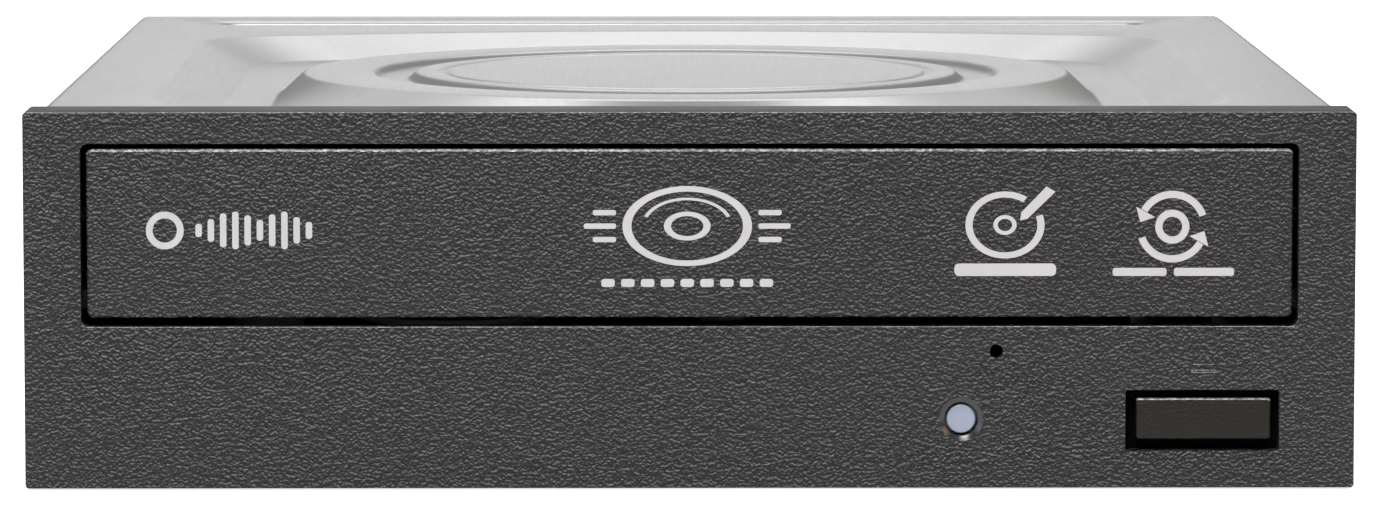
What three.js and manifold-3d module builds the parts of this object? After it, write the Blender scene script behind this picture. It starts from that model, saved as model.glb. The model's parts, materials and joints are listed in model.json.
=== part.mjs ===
// A half-height optical disc drive, closed, as an assembly of separate pieces.
// Millimetres. +X is to the right seen from the front, +Y runs back into the drive, +Z is up.
// The origin is under the middle of the drive, at the height of the bezel's lower edge.

import * as THREE from 'three';
import { mergeVertices } from 'three/addons/utils/BufferGeometryUtils.js';
import Module from 'manifold-3d';

const wasm = await Module();
wasm.setup();
const { Manifold, Mesh: SolidMesh } = wasm;

// ---------------------------------------------------------------- driving dimensions

// Whole drive
const WIDTH = 148; // bezel, side to side
const HEIGHT = 42; // bezel, bottom to top
const DEPTH = 172; // bezel face to the rear of the case
const GAP = 0.3; // play between neighbouring pieces
const SHEET = 0.8; // steel of both covers

// Bezel
const BEZEL_FACE = 2.4; // thickness of the front face
const RIM_DEPTH = 9; // face to the rear edge of the rim
const RIM_WALL = 1.8;
const CASE_STEP = 1; // the case is this much narrower than the bezel on each side
const CASE_DROP = 0.35; // and this much lower at the top and the bottom
const CORNER = 0.8; // rounding of the bezel's outline

// Door opening and door
const OPENING_SIDE = 6.35; // bezel edge to the door opening
const OPENING_LOW = 18.1; // lower edge of the opening
const OPENING_TOP = 3.5; // bezel top to the opening
const DOOR_SIDE_GAP = 0.65;
const DOOR_TOP_GAP = 0.6;
const DOOR_LOW_GAP = 1;
const DOOR_SET_BACK = 0.3; // door face behind the bezel face
const DOOR_THICK = 3.5;
const DOOR_SKIN = 1.6; // front wall of the hollow-backed door

// Eject button, emergency hole and light, placed from the middle of the bezel
const BUTTON_X = 57.2;
const BUTTON_Z = 7.7;
const BUTTON_WIDTH = 15;
const BUTTON_HEIGHT = 4.6;
const BUTTON_WINDOW_GAP = 0.95; // all round the button
const BUTTON_TRAVEL = 0.6;
const HATCH_X = 34.1; // emergency hole
const HATCH_Z = 15.3;
const HATCH_RADIUS = 0.75;
const LIGHT_X = 30.2;
const LIGHT_Z = 7.7;
const LIGHT_RADIUS = 1.6;
const LIGHT_DISH_RADIUS = 2.45;

// Disc and tray
const DISC_RADIUS = 60;
const SMALL_DISC_RADIUS = 40;
const DISC_PLAY = 0.5; // between a disc's edge and its well
const DISC_HOLE_RADIUS = 7.5;
const SPINDLE_BACK = 69; // bezel face to the spindle
const TRAY_SIDE = 3.15; // opening edge to the tray's edge
const TRAY_LIFT = 3.5; // opening's lower edge to the tray's underside
const TRAY_THICK = 6;
const WELL_FLOOR = 2.4; // tray thickness under the large disc
const SMALL_WELL_FLOOR = 1.6; // and under the small disc
const TRAY_LENGTH = 158.7;
const TRAY_TRAVEL = 134;
const SLOT_RADIUS = 24; // round end of the slot for the spindle and the pickup

// Teeth
const MODULE = 1;
const PRESSURE_ANGLE = THREE.MathUtils.degToRad(20);
const BACKLASH = 0.3;
const ADDENDUM = 0.85 * MODULE;
const DEDENDUM = 1.2 * MODULE;
const TOP_WHEEL_TEETH = 18; // meshes with the tray's rack
const LOW_WHEEL_TEETH = 28; // meshes with the pulley's pinion
const PINION_TEETH = 14;
const RACK_EDGE = 7.5; // tray edge to the rack's pitch line
const RACK_DEPTH = 2.8;

// Loading train
const DRIVE_GEAR_BACK = 24; // bezel face to the axle
const PULLEY_BACK = 22;
const LOADING_MOTOR_BACK = 21;
const LOADING_MOTOR_X = 4;
const LOADING_MOTOR_RADIUS = 9;
const PULLEY_RADIUS = 10; // bottom of the belt groove
const MOTOR_PULLEY_RADIUS = 2.5;
const BELT_THICK = 1;
const BELT_WIDTH = 1.8;
const AXLE_RADIUS = 1.5;

// Loader frame
const FRAME_WALL = 1.2;
const FRAME_FOOT = 6; // lower edge of the side walls
const DECK_LOW = 8.5;
const DECK_THICK = 1.3;
const DECK_BACK = 11; // bezel face to the deck's front edge
const LEDGE_THICK = 2.1;
const LEDGE_UNDER = 2.2; // how far a ledge reaches under the tray
const HOLD_DOWN_THICK = 2;
const FRAME_BACK_CLEAR = 16; // frame's rear end to the rear of the case

// Lift frame, cam slider and their tilt
const LIFT_HALF = 52;
const LIFT_RAIL = 6;
const LIFT_BAR = 4;
const LIFT_LOW = 11.5;
const LIFT_THICK = 4;
const LIFT_FRONT_BACK = 42; // bezel face to the frame's front edge
const PIVOT_BACK = 148; // bezel face to the tilt axis
const PIVOT_RADIUS = 2;
const PIVOT_LENGTH = 5.2;
const LIFT_ANGLE = THREE.MathUtils.degToRad(4.8);
const CAM_BACK = 34; // bezel face to the slider's front face
const CAM_THICK = 3;
const CAM_TRAVEL = 12;
const CAM_LOW = 1.6;
const CAM_PIN_X = 14;
const CAM_PIN_RADIUS = 1.2;
const CAM_PIN_PLAY = 0.45;
const CAM_RIGHT = 40;
const RAMP_LENGTH = 16; // emergency ramp, along the slider
const RAMP_REACH = 9; // and towards the bezel

// Traverse with its motors and rods
const PLATE_LOW = 17;
const PLATE_THICK = 1.2;
const DAMPER_X = 42;
const DAMPER_FRONT_BACK = 54;
const DAMPER_REAR_BACK = 139.6;
const DAMPER_RADIUS = 4.4;
const SPINDLE_MOTOR_RADIUS = 13;
const TURNTABLE_RADIUS = 15;
const ROD_X = 26;
const ROD_Z = 15;
const ROD_RADIUS = 1.5;
const SCREW_X = 36; // lead screw
const SCREW_RADIUS = 1.5;
const SLED_MOTOR_RADIUS = 4.5;
const SLED_MOTOR_LENGTH = 14;

// Pickup
const PICKUP_HALF = 30;
const PICKUP_LENGTH = 26;
const PICKUP_TRAVEL = 34;
const PICKUP_LOW = 12;
const PICKUP_TOP = 19.5;

// Clamp
const BRIDGE_LENGTH = 36; // along Y
const BRIDGE_HOLE_RADIUS = 14;
const CLAMPER_LIFT = 0.4; // tray's top to the clamper

// Boards and connectors
const BOARD_THICK = 1.6;
const MAIN_BOARD_LOW = 3;
const MAIN_BOARD_LENGTH = 74;
const MAIN_BOARD_HALF = 62;
const FRONT_BOARD_LOW = 3.2;
const FRONT_BOARD_THICK = 1.2;
const POWER_X = 46; // middle of the power connector
const POWER_WIDTH = 26;
const DATA_X = 22; // middle of the data connector
const DATA_WIDTH = 15;
const CONNECTOR_HEIGHT = 6.6;
const CONNECTOR_LENGTH = 11;
const RIBBON_WIDTH = 6.4;

// Mounting holes of the half-height bay standard
const SIDE_HOLE_FIRST = 47.4; // behind the rear of the bezel
const SIDE_HOLE_PITCH = 79.25;
const SIDE_HOLE_LOW = 10; // above the underside of the case
const SIDE_HOLE_HIGH = 21.8;
const BASE_HOLE_SPREAD = 139.7;
const TAPPED_RADIUS = 1.25;
const CLEARANCE_RADIUS = 1.9;

// Stamping in the top cover
const RECESS_DEPTH = 2.8;
const RECESS_SLOPE = 7; // width of its sloping walls
const RECESS_SIDE = 11.5; // case edge to the recess
const RECESS_FRONT_BACK = 12; // bezel face to its front edge
const RECESS_REAR_BACK = 131; // bezel face to its rear corners
const RECESS_BOW = 10; // how far the rear edge bows out
const PLATFORM_RADIUS = 46; // round platform over the clamp
const PLATFORM_SLOPE = 3; // width of its wall at the sides and the rear
const GROOVE_OUTER = 37.7;
const GROOVE_INNER = 32.5;
const GROOVE_DEPTH = 0.9;
const REAR_BEAD_LENGTH = 122;
const REAR_BEAD_WIDTH = 4;
const REAR_BEAD_BACK = 17; // rear of the case to the bead
const REAR_BEAD_DEPTH = 0.45;

// Screws
const SCREW_SHANK = 1.4; // radius of the hole that a screw holds in
const THREAD_PLAY = 0.3; // the shank is drawn this much under its hole
const SCREW_HEAD = 2.8;
const SCREW_HEAD_THICK = 1.1;

// ---------------------------------------------------------------- places that follow

const FRONT = -DEPTH / 2;
const REAR = DEPTH / 2;
const CASE_FRONT = FRONT + RIM_DEPTH;
const CASE_HALF = WIDTH / 2 - CASE_STEP;
const CASE_LOW = CASE_DROP;
const CASE_TOP = HEIGHT - CASE_DROP;
const PAN_HALF = CASE_HALF - SHEET - GAP;
const PAN_TOP = CASE_LOW + SHEET;
const FRAME_OUT = PAN_HALF - SHEET - GAP;
const FRAME_IN = FRAME_OUT - FRAME_WALL;

const OPENING_HALF = WIDTH / 2 - OPENING_SIDE;
const OPENING_HIGH = HEIGHT - OPENING_TOP;
const DOOR_HALF = OPENING_HALF - DOOR_SIDE_GAP;
const DOOR_LOW = OPENING_LOW + DOOR_LOW_GAP;
const DOOR_HIGH = OPENING_HIGH - DOOR_TOP_GAP;
const DOOR_FRONT = FRONT + DOOR_SET_BACK;
const DOOR_REAR = DOOR_FRONT + DOOR_THICK;

const SPINDLE_Y = FRONT + SPINDLE_BACK;
const TRAY_HALF = OPENING_HALF - TRAY_SIDE;
const TRAY_LOW = OPENING_LOW + TRAY_LIFT;
const TRAY_TOP = TRAY_LOW + TRAY_THICK;
const TRAY_FRONT = DOOR_REAR + GAP;
const TRAY_REAR = TRAY_FRONT + TRAY_LENGTH;

const RACK_PITCH_X = -(TRAY_HALF - RACK_EDGE);
const RACK_LOW = TRAY_LOW - RACK_DEPTH;
const TOP_WHEEL_RADIUS = (TOP_WHEEL_TEETH * MODULE) / 2;
const LOW_WHEEL_RADIUS = (LOW_WHEEL_TEETH * MODULE) / 2;
const PINION_RADIUS = (PINION_TEETH * MODULE) / 2;
const DRIVE_GEAR_X = RACK_PITCH_X + TOP_WHEEL_RADIUS;
const DRIVE_GEAR_Y = FRONT + DRIVE_GEAR_BACK;
const PULLEY_Y = FRONT + PULLEY_BACK;
const PULLEY_MESH = LOW_WHEEL_RADIUS + PINION_RADIUS; // distance between the two axles
const PULLEY_X = DRIVE_GEAR_X + Math.sqrt(PULLEY_MESH ** 2 - (PULLEY_Y - DRIVE_GEAR_Y) ** 2);
const MESH_ANGLE = Math.atan2(PULLEY_Y - DRIVE_GEAR_Y, PULLEY_X - DRIVE_GEAR_X);
const LOADING_MOTOR_Y = FRONT + LOADING_MOTOR_BACK;

const DECK_TOP = DECK_LOW + DECK_THICK;
const LOW_WHEEL_LOW = DECK_TOP + GAP;
const LOW_WHEEL_TOP = LOW_WHEEL_LOW + 3;
const TOP_WHEEL_TOP = TRAY_LOW - GAP - 0.1;
const TOP_WHEEL_LOW = RACK_LOW + 0.1;
const BELT_LOW = LOW_WHEEL_TOP + 1.9;
const BELT_TOP = BELT_LOW + BELT_WIDTH;
const FLANGE = 0.5; // side flanges of a belt pulley
const PULLEY_LOW = BELT_LOW - GAP - FLANGE;
const PULLEY_TOP = BELT_TOP + GAP + FLANGE;

const PIVOT_Y = FRONT + PIVOT_BACK;
const PIVOT_Z = LIFT_LOW + LIFT_THICK / 2;
const LIFT_FRONT = FRONT + LIFT_FRONT_BACK;
const LIFT_REAR = PIVOT_Y + LIFT_BAR + 1;
const LIFT_IN = LIFT_HALF - LIFT_RAIL;
const LIFT_TOP = LIFT_LOW + LIFT_THICK;
const CAM_FRONT = FRONT + CAM_BACK;
const CAM_REAR = CAM_FRONT + CAM_THICK;
const CAM_DROP = (PIVOT_Y - (CAM_FRONT + CAM_REAR) / 2) * Math.sin(LIFT_ANGLE);
const CAM_SLOT_RADIUS = CAM_PIN_RADIUS + CAM_PIN_PLAY;
const CAM_TOP = PIVOT_Z + CAM_SLOT_RADIUS + 1.25;
const CAM_LEFT = -(CAM_PIN_X + CAM_TRAVEL + CAM_SLOT_RADIUS + 2.3);
const DECK_REAR = CAM_FRONT - GAP;
const FRAME_REAR = REAR - FRAME_BACK_CLEAR;
const CROSS_BAR_FRONT = LIFT_REAR + 1.2;

const PLATE_TOP = PLATE_LOW + PLATE_THICK;
const PLATE_HALF = LIFT_HALF - 2;
const PLATE_FRONT = LIFT_FRONT + 2;
const PLATE_REAR = PIVOT_Y + 4;
const SEAT_Z = TRAY_LOW + WELL_FLOOR + 1.6; // underside of a clamped disc
const PICKUP_FRONT = SPINDLE_Y + TURNTABLE_RADIUS - 0.5;
const PICKUP_REAR = PICKUP_FRONT + PICKUP_LENGTH;
const ROD_TAB = 3; // thickness of the tabs that hold the rods
const ROD_TAB_FRONT = PICKUP_FRONT - 6;
const ROD_TAB_REAR = PICKUP_REAR + PICKUP_TRAVEL + 1.5;
const WINDOW_FRONT = PICKUP_FRONT - 1.5;
const WINDOW_REAR = PICKUP_REAR + PICKUP_TRAVEL + 0.8;
const WINDOW_LEFT = -(PICKUP_HALF + 3);
const WINDOW_RIGHT = SCREW_X + SLED_MOTOR_RADIUS + 0.6;

const CLAMPER_LOW = TRAY_TOP + CLAMPER_LIFT;
const BRIDGE_LOW = CLAMPER_LOW + 3;
const BRIDGE_TOP = BRIDGE_LOW + 1.2;
const CLAMPER_RADIUS = BRIDGE_HOLE_RADIUS - 0.6;
const BRIDGE_SCREW_X = FRAME_IN - 2.4;

const MAIN_BOARD_REAR = REAR - SHEET - 1.2;
const MAIN_BOARD_FRONT = MAIN_BOARD_REAR - MAIN_BOARD_LENGTH;
const MAIN_BOARD_TOP = MAIN_BOARD_LOW + BOARD_THICK;
const FRONT_BOARD_TOP = FRONT_BOARD_LOW + FRONT_BOARD_THICK;
const FRONT_BOARD_FRONT = FRONT + 12;
const FRONT_BOARD_REAR = FRONT + 26;
const FRONT_BOARD_LEFT = 20;
const FRONT_BOARD_RIGHT = FRAME_IN - 2;
const SWITCH_FRONT = FRONT_BOARD_FRONT + 1;
const SWITCH_HALF = 2.4; // clear of the screw post beside it
const STEM_HALF = 1.5; // button stem, which meets the switch

const SIDE_HOLE_YS = [CASE_FRONT + SIDE_HOLE_FIRST, CASE_FRONT + SIDE_HOLE_FIRST + SIDE_HOLE_PITCH];
const SIDE_HOLE_ZS = [CASE_LOW + SIDE_HOLE_LOW, CASE_LOW + SIDE_HOLE_HIGH];
const DIMPLE_DEPTH = 1.5; // recess round each screw in the bottom cover
const DIMPLE_RADIUS = 4.4;
const COVER_SCREW_X = FRAME_IN - 6;
const COVER_SCREW_YS = [FRONT + 18, REAR - 24];

// ---------------------------------------------------------------- materials

const finish = (color, roughness, metalness = 0) =>
  new THREE.MeshStandardMaterial({ color, roughness, metalness });
const bezelPlastic = finish(0x3a383a, 0.8);
const buttonPlastic = finish(0x36332f, 0.7);
const framePlastic = finish(0x222224, 0.6);
const gearPlastic = finish(0xd9d6c8, 0.5);
const coverSteel = finish(0xb5b8b6, 0.4, 0.9);
const plateSteel = finish(0x9fa2a4, 0.35, 0.9);
const darkSteel = finish(0x55585c, 0.4, 0.9);
const screwSteel = finish(0x8a8d90, 0.3, 0.9);
const rubber = finish(0x1c1c1c, 0.9);
const boardGreen = finish(0x1f5a34, 0.6);
const chipBlack = finish(0x18181a, 0.5);
const lensGlass = finish(0xa9c4e8, 0.1);
const lightClear = finish(0xa6b0cc, 0.3);
const ribbonWhite = finish(0xe4e4df, 0.6);

// ---------------------------------------------------------------- solids

// A closed solid from a three.js geometry, its shared corners merged.
function solid(geometry) {
  geometry.deleteAttribute('normal');
  geometry.deleteAttribute('uv');
  const merged = mergeVertices(geometry, 1e-4);
  const corners = merged.index.array;
  const kept = [];
  for (let i = 0; i < corners.length; i += 3) {
    const [a, b, c] = [corners[i], corners[i + 1], corners[i + 2]];
    if (a !== b && b !== c && c !== a) kept.push(a, b, c);
  }
  return new Manifold(
    new SolidMesh({
      numProp: 3,
      vertProperties: new Float32Array(merged.attributes.position.array),
      triVerts: new Uint32Array(kept),
    }),
  );
}

const join = (first, ...others) => others.reduce((whole, other) => whole.add(other), first);
const cut = (first, ...others) => others.reduce((whole, other) => whole.subtract(other), first);

function block([x0, x1], [y0, y1], [z0, z1]) {
  const box = new THREE.BoxGeometry(x1 - x0, y1 - y0, z1 - z0);
  return solid(box.translate((x0 + x1) / 2, (y0 + y1) / 2, (z0 + z1) / 2));
}

// Round bars along each axis: the pair is where the bar starts and ends, the numbers are its centre.
function barX([x0, x1], y, z, radius, sides = 10) {
  const bar = new THREE.CylinderGeometry(radius, radius, x1 - x0, sides).rotateZ(Math.PI / 2);
  return solid(bar.translate((x0 + x1) / 2, y, z));
}

function barY(x, [y0, y1], z, radius, sides = 12) {
  return solid(new THREE.CylinderGeometry(radius, radius, y1 - y0, sides).translate(x, (y0 + y1) / 2, z));
}

function barZ(x, y, [z0, z1], radius, sides = 16) {
  const bar = new THREE.CylinderGeometry(radius, radius, z1 - z0, sides).rotateX(Math.PI / 2);
  return solid(bar.translate(x, y, (z0 + z1) / 2));
}

const extrusion = (shape, depth, curveSegments) =>
  new THREE.ExtrudeGeometry(shape, { depth, bevelEnabled: false, curveSegments });

// A shape drawn in X and Y, standing between two heights.
function standing(shape, [z0, z1], curveSegments = 8) {
  return solid(extrusion(shape, z1 - z0, curveSegments).translate(0, 0, z0));
}

// A shape drawn in X and Z, reaching from one depth to another.
function facing(shape, [y0, y1], curveSegments = 4) {
  return solid(extrusion(shape, y1 - y0, curveSegments).rotateX(Math.PI / 2).translate(0, y1, 0));
}

// A shape drawn in Y and Z, reaching across in X.
function across(shape, [x0, x1], curveSegments = 6) {
  const turn = new THREE.Matrix4().makeBasis(
    new THREE.Vector3(0, 1, 0),
    new THREE.Vector3(0, 0, 1),
    new THREE.Vector3(1, 0, 0),
  );
  return solid(extrusion(shape, x1 - x0, curveSegments).applyMatrix4(turn).translate(x0, 0, 0));
}

// A profile of [radius, height] points turned about a vertical axis.
function turned(profile, sides = 24) {
  const points = profile.map(([radius, height]) => new THREE.Vector2(radius, height));
  return solid(new THREE.LatheGeometry(points, sides).rotateX(Math.PI / 2));
}

function roundedRectangle([x0, x1], [y0, y1], radius) {
  const shape = new THREE.Shape();
  shape.moveTo(x0 + radius, y0);
  shape.absarc(x1 - radius, y0 + radius, radius, -Math.PI / 2, 0);
  shape.absarc(x1 - radius, y1 - radius, radius, 0, Math.PI / 2);
  shape.absarc(x0 + radius, y1 - radius, radius, Math.PI / 2, Math.PI);
  shape.absarc(x0 + radius, y0 + radius, radius, Math.PI, 1.5 * Math.PI);
  return shape;
}

const polygon = (points) => new THREE.Shape(points.map(([x, y]) => new THREE.Vector2(x, y)));

// A slot with round ends between two points.
function capsule([ax, ay], [bx, by], radius) {
  const along = Math.atan2(by - ay, bx - ax);
  const shape = new THREE.Shape();
  shape.absarc(ax, ay, radius, along + Math.PI / 2, along + 1.5 * Math.PI);
  shape.absarc(bx, by, radius, along - Math.PI / 2, along + Math.PI / 2);
  return shape;
}

// A solid between a lower and an upper outline with the same number of points.
function loft(lower, z0, upper, z1) {
  const count = lower.length;
  const positions = [];
  lower.forEach((p) => positions.push(p.x, p.y, z0));
  upper.forEach((p) => positions.push(p.x, p.y, z1));
  const faces = [];
  for (const [a, b, c] of THREE.ShapeUtils.triangulateShape(lower, [])) {
    faces.push(c, b, a);
    faces.push(count + a, count + b, count + c);
  }
  for (let i = 0; i < count; i += 1) {
    const next = (i + 1) % count;
    faces.push(i, next, count + next, i, count + next, count + i);
  }
  const geometry = new THREE.BufferGeometry();
  geometry.setAttribute('position', new THREE.Float32BufferAttribute(positions, 3));
  geometry.setIndex(faces);
  return solid(geometry);
}

// ---------------------------------------------------------------- teeth

const involute = (angle) => Math.tan(angle) - angle;

// Half the angle that a tooth covers at a given radius.
function toothHalfAngle(pitchRadius, radius) {
  const base = pitchRadius * Math.cos(PRESSURE_ANGLE);
  const angle = Math.acos(Math.min(1, base / Math.max(radius, base)));
  const atPitch = ((Math.PI * MODULE) / 2 - BACKLASH) / (2 * pitchRadius);
  return atPitch + involute(PRESSURE_ANGLE) - involute(angle);
}

// The outline of a gear with a tooth centred on the direction phase.
function gearOutline(teeth, phase) {
  const pitch = (teeth * MODULE) / 2;
  const radii = [pitch - DEDENDUM, pitch, pitch + ADDENDUM];
  const points = [];
  for (let k = 0; k < teeth; k += 1) {
    const centre = phase + (k * 2 * Math.PI) / teeth;
    const put = (radius, side) => {
      const angle = centre + side * toothHalfAngle(pitch, radius);
      points.push([radius * Math.cos(angle), radius * Math.sin(angle)]);
    };
    radii.forEach((radius) => put(radius, -1));
    [...radii].reverse().forEach((radius) => put(radius, 1));
  }
  return polygon(points);
}

// The tray's rack: a strip with teeth towards +X, one of them centred on the drive gear's axle.
function rackOutline() {
  const step = Math.PI * MODULE;
  const half = step / 4 - BACKLASH / 2;
  const lean = Math.tan(PRESSURE_ANGLE);
  const first = Math.ceil((TRAY_FRONT + 14 - DRIVE_GEAR_Y) / step);
  const last = Math.floor((TRAY_REAR - 1.5 - DRIVE_GEAR_Y) / step);
  const root = RACK_PITCH_X - DEDENDUM;
  const tip = RACK_PITCH_X + ADDENDUM;
  const points = [];
  for (let k = first; k <= last; k += 1) {
    const y = DRIVE_GEAR_Y + k * step;
    points.push([root, y - half - DEDENDUM * lean], [tip, y - half + ADDENDUM * lean]);
    points.push([tip, y + half - ADDENDUM * lean], [root, y + half + DEDENDUM * lean]);
  }
  const back = -(TRAY_HALF - LEDGE_UNDER - GAP);
  const firstY = points[0][1];
  const lastY = points[points.length - 1][1];
  points.push([back, lastY], [back, firstY]);
  return polygon(points);
}

// ---------------------------------------------------------------- housings

// The bezel: a thin face with a rim behind it, and clips that hook into the case.
function bezel() {
  const rimInX = [-(WIDTH / 2 - RIM_WALL), WIDTH / 2 - RIM_WALL];
  const rimInZ = [RIM_WALL, HEIGHT - RIM_WALL];
  const outside = roundedRectangle([-WIDTH / 2, WIDTH / 2], [0, HEIGHT], CORNER);
  const doorway = roundedRectangle([-OPENING_HALF, OPENING_HALF], [OPENING_LOW, OPENING_HIGH], CORNER);
  const windowHalf = BUTTON_WIDTH / 2 + BUTTON_WINDOW_GAP;
  const windowRise = BUTTON_HEIGHT / 2 + BUTTON_WINDOW_GAP;
  const windowX = [BUTTON_X - windowHalf, BUTTON_X + windowHalf];
  const windowZ = [BUTTON_Z - windowRise, BUTTON_Z + windowRise];
  const through = [FRONT - 1, FRONT + BEZEL_FACE + 1];
  const dishDepth = 0.9;
  const shell = cut(
    facing(outside, [FRONT, CASE_FRONT]),
    block(rimInX, [FRONT + BEZEL_FACE, CASE_FRONT + 1], rimInZ),
    facing(doorway, through),
    facing(roundedRectangle(windowX, windowZ, CORNER), through),
    barY(HATCH_X, through, HATCH_Z, HATCH_RADIUS),
    barY(LIGHT_X, through, LIGHT_Z, LIGHT_RADIUS + GAP),
    barY(LIGHT_X, [FRONT - 1, FRONT + dishDepth], LIGHT_Z, LIGHT_DISH_RADIUS, 24),
  );
  return join(shell, ...bezelClips());
}

// Four clips: two under the top cover and two above the bottom cover.
function bezelClips() {
  const [inner, outer] = [40, 48];
  const reach = [CASE_FRONT - 3, FRONT + RECESS_FRONT_BACK - 0.6];
  const upper = CASE_TOP - SHEET - GAP;
  const lower = PAN_TOP + GAP;
  const clips = [];
  for (const side of [-1, 1]) {
    const x = side < 0 ? [-outer, -inner] : [inner, outer];
    clips.push(block(x, reach, [upper - 1.3, upper]));
    clips.push(block(x, reach, [lower, lower + 1.3]));
    clips.push(block(x, [reach[0], CASE_FRONT - GAP], [upper - 1.3, HEIGHT - RIM_WALL + 0.5]));
    clips.push(block(x, [reach[0], CASE_FRONT - GAP], [RIM_WALL - 0.5, lower + 1.3]));
  }
  return clips;
}

// The outline of the recess in the top cover, moved inwards by inset.
function recessOutline(inset) {
  const half = CASE_HALF - RECESS_SIDE - inset;
  const front = FRONT + RECESS_FRONT_BACK + inset;
  const rear = FRONT + RECESS_REAR_BACK - inset;
  const corner = 12;
  const shape = new THREE.Shape();
  shape.moveTo(-half + corner, front);
  shape.lineTo(half - corner, front);
  shape.quadraticCurveTo(half, front, half, front + corner);
  shape.lineTo(half, rear - corner);
  shape.quadraticCurveTo(half, rear, half - corner, rear + 2);
  shape.quadraticCurveTo(0, rear + 2 * RECESS_BOW - 2, -half + corner, rear + 2);
  shape.quadraticCurveTo(-half, rear, -half, rear - corner);
  shape.lineTo(-half, front + corner);
  shape.quadraticCurveTo(-half, front, -half + corner, front);
  const points = shape.getPoints(4);
  points.pop();
  return points;
}

// The platform's round top, or its foot, which is round behind and squares off towards the front.
function platformOutline(foot) {
  const steps = 36;
  const side = PLATFORM_RADIUS + PLATFORM_SLOPE;
  const ahead = SPINDLE_BACK - RECESS_FRONT_BACK;
  const points = [];
  for (let i = 0; i < steps; i += 1) {
    const angle = (i / steps) * 2 * Math.PI;
    const [along, back] = [Math.cos(angle), Math.sin(angle)];
    const square = Math.min(side / Math.max(Math.abs(along), 1e-6), ahead / Math.max(-back, 1e-6));
    const footRadius = back < 0 ? Math.max(side, square) : side;
    const radius = foot ? footRadius : PLATFORM_RADIUS;
    points.push(new THREE.Vector2(radius * along, radius * back));
  }
  return points;
}

// Everything below the top cover's outer surface, stamping included.
function coverForm() {
  const floor = CASE_TOP - RECESS_DEPTH;
  const whole = block([-CASE_HALF, CASE_HALF], [CASE_FRONT, REAR], [CASE_LOW, CASE_TOP]);
  const recess = loft(recessOutline(RECESS_SLOPE), floor, recessOutline(-0.1), CASE_TOP + 0.04);
  const platform = loft(platformOutline(true), floor - 0.4, platformOutline(false), CASE_TOP);
  const groove = turned(
    [
      [GROOVE_INNER + 0.8, CASE_TOP - GROOVE_DEPTH],
      [GROOVE_OUTER - 0.8, CASE_TOP - GROOVE_DEPTH],
      [GROOVE_OUTER + 0.2, CASE_TOP + 0.2],
      [GROOVE_INNER - 0.2, CASE_TOP + 0.2],
      [GROOVE_INNER + 0.8, CASE_TOP - GROOVE_DEPTH],
    ],
    36,
  );
  const beadY = REAR - REAR_BEAD_BACK;
  const bead = block(
    [-REAR_BEAD_LENGTH / 2, REAR_BEAD_LENGTH / 2],
    [beadY - REAR_BEAD_WIDTH / 2, beadY + REAR_BEAD_WIDTH / 2],
    [CASE_TOP - REAR_BEAD_DEPTH, CASE_TOP + 1],
  );
  const atSpindle = (piece) => piece.translate([0, SPINDLE_Y, 0]);
  return cut(join(cut(whole, recess), atSpindle(platform)), atSpindle(groove), bead);
}

// The top cover: a stamped sheet that wraps over the top, the sides and the rear.
function topCover() {
  const insideHalf = CASE_HALF - SHEET;
  const form = coverForm();
  const hollow = form
    .translate([0, 0, -SHEET])
    .intersect(block([-insideHalf, insideHalf], [CASE_FRONT - 1, REAR - SHEET], [-HEIGHT, HEIGHT]));
  const skirtX = [-CASE_HALF - 1, CASE_HALF + 1];
  const skirt = block(skirtX, [CASE_FRONT - 2, REAR - SHEET], [-HEIGHT, CASE_LOW + 0.001]);
  const openFront = block(
    [-insideHalf, insideHalf],
    [CASE_FRONT - 1, CASE_FRONT + 1],
    [CASE_LOW - 1, CASE_TOP - SHEET],
  );
  return cut(form, hollow, skirt, openFront, ...sideHoles(CLEARANCE_RADIUS), rearWindow());
}

// Bores for the bay's screws, through both side walls.
function sideHoles(radius) {
  const holes = [];
  for (const y of SIDE_HOLE_YS) {
    for (const z of SIDE_HOLE_ZS) {
      holes.push(barX([-CASE_HALF - 1, -FRAME_IN + 1], y, z, radius));
      holes.push(barX([FRAME_IN - 1, CASE_HALF + 1], y, z, radius));
    }
  }
  return holes;
}

// The opening in the rear wall, round both connectors.
function rearWindow() {
  const left = DATA_X - DATA_WIDTH / 2 - 1.2;
  const right = POWER_X + POWER_WIDTH / 2 + 1.2;
  const top = MAIN_BOARD_TOP + CONNECTOR_HEIGHT + 0.9;
  return block([left, right], [REAR - 3, REAR + 1], [MAIN_BOARD_LOW - 0.8, top]);
}

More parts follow.
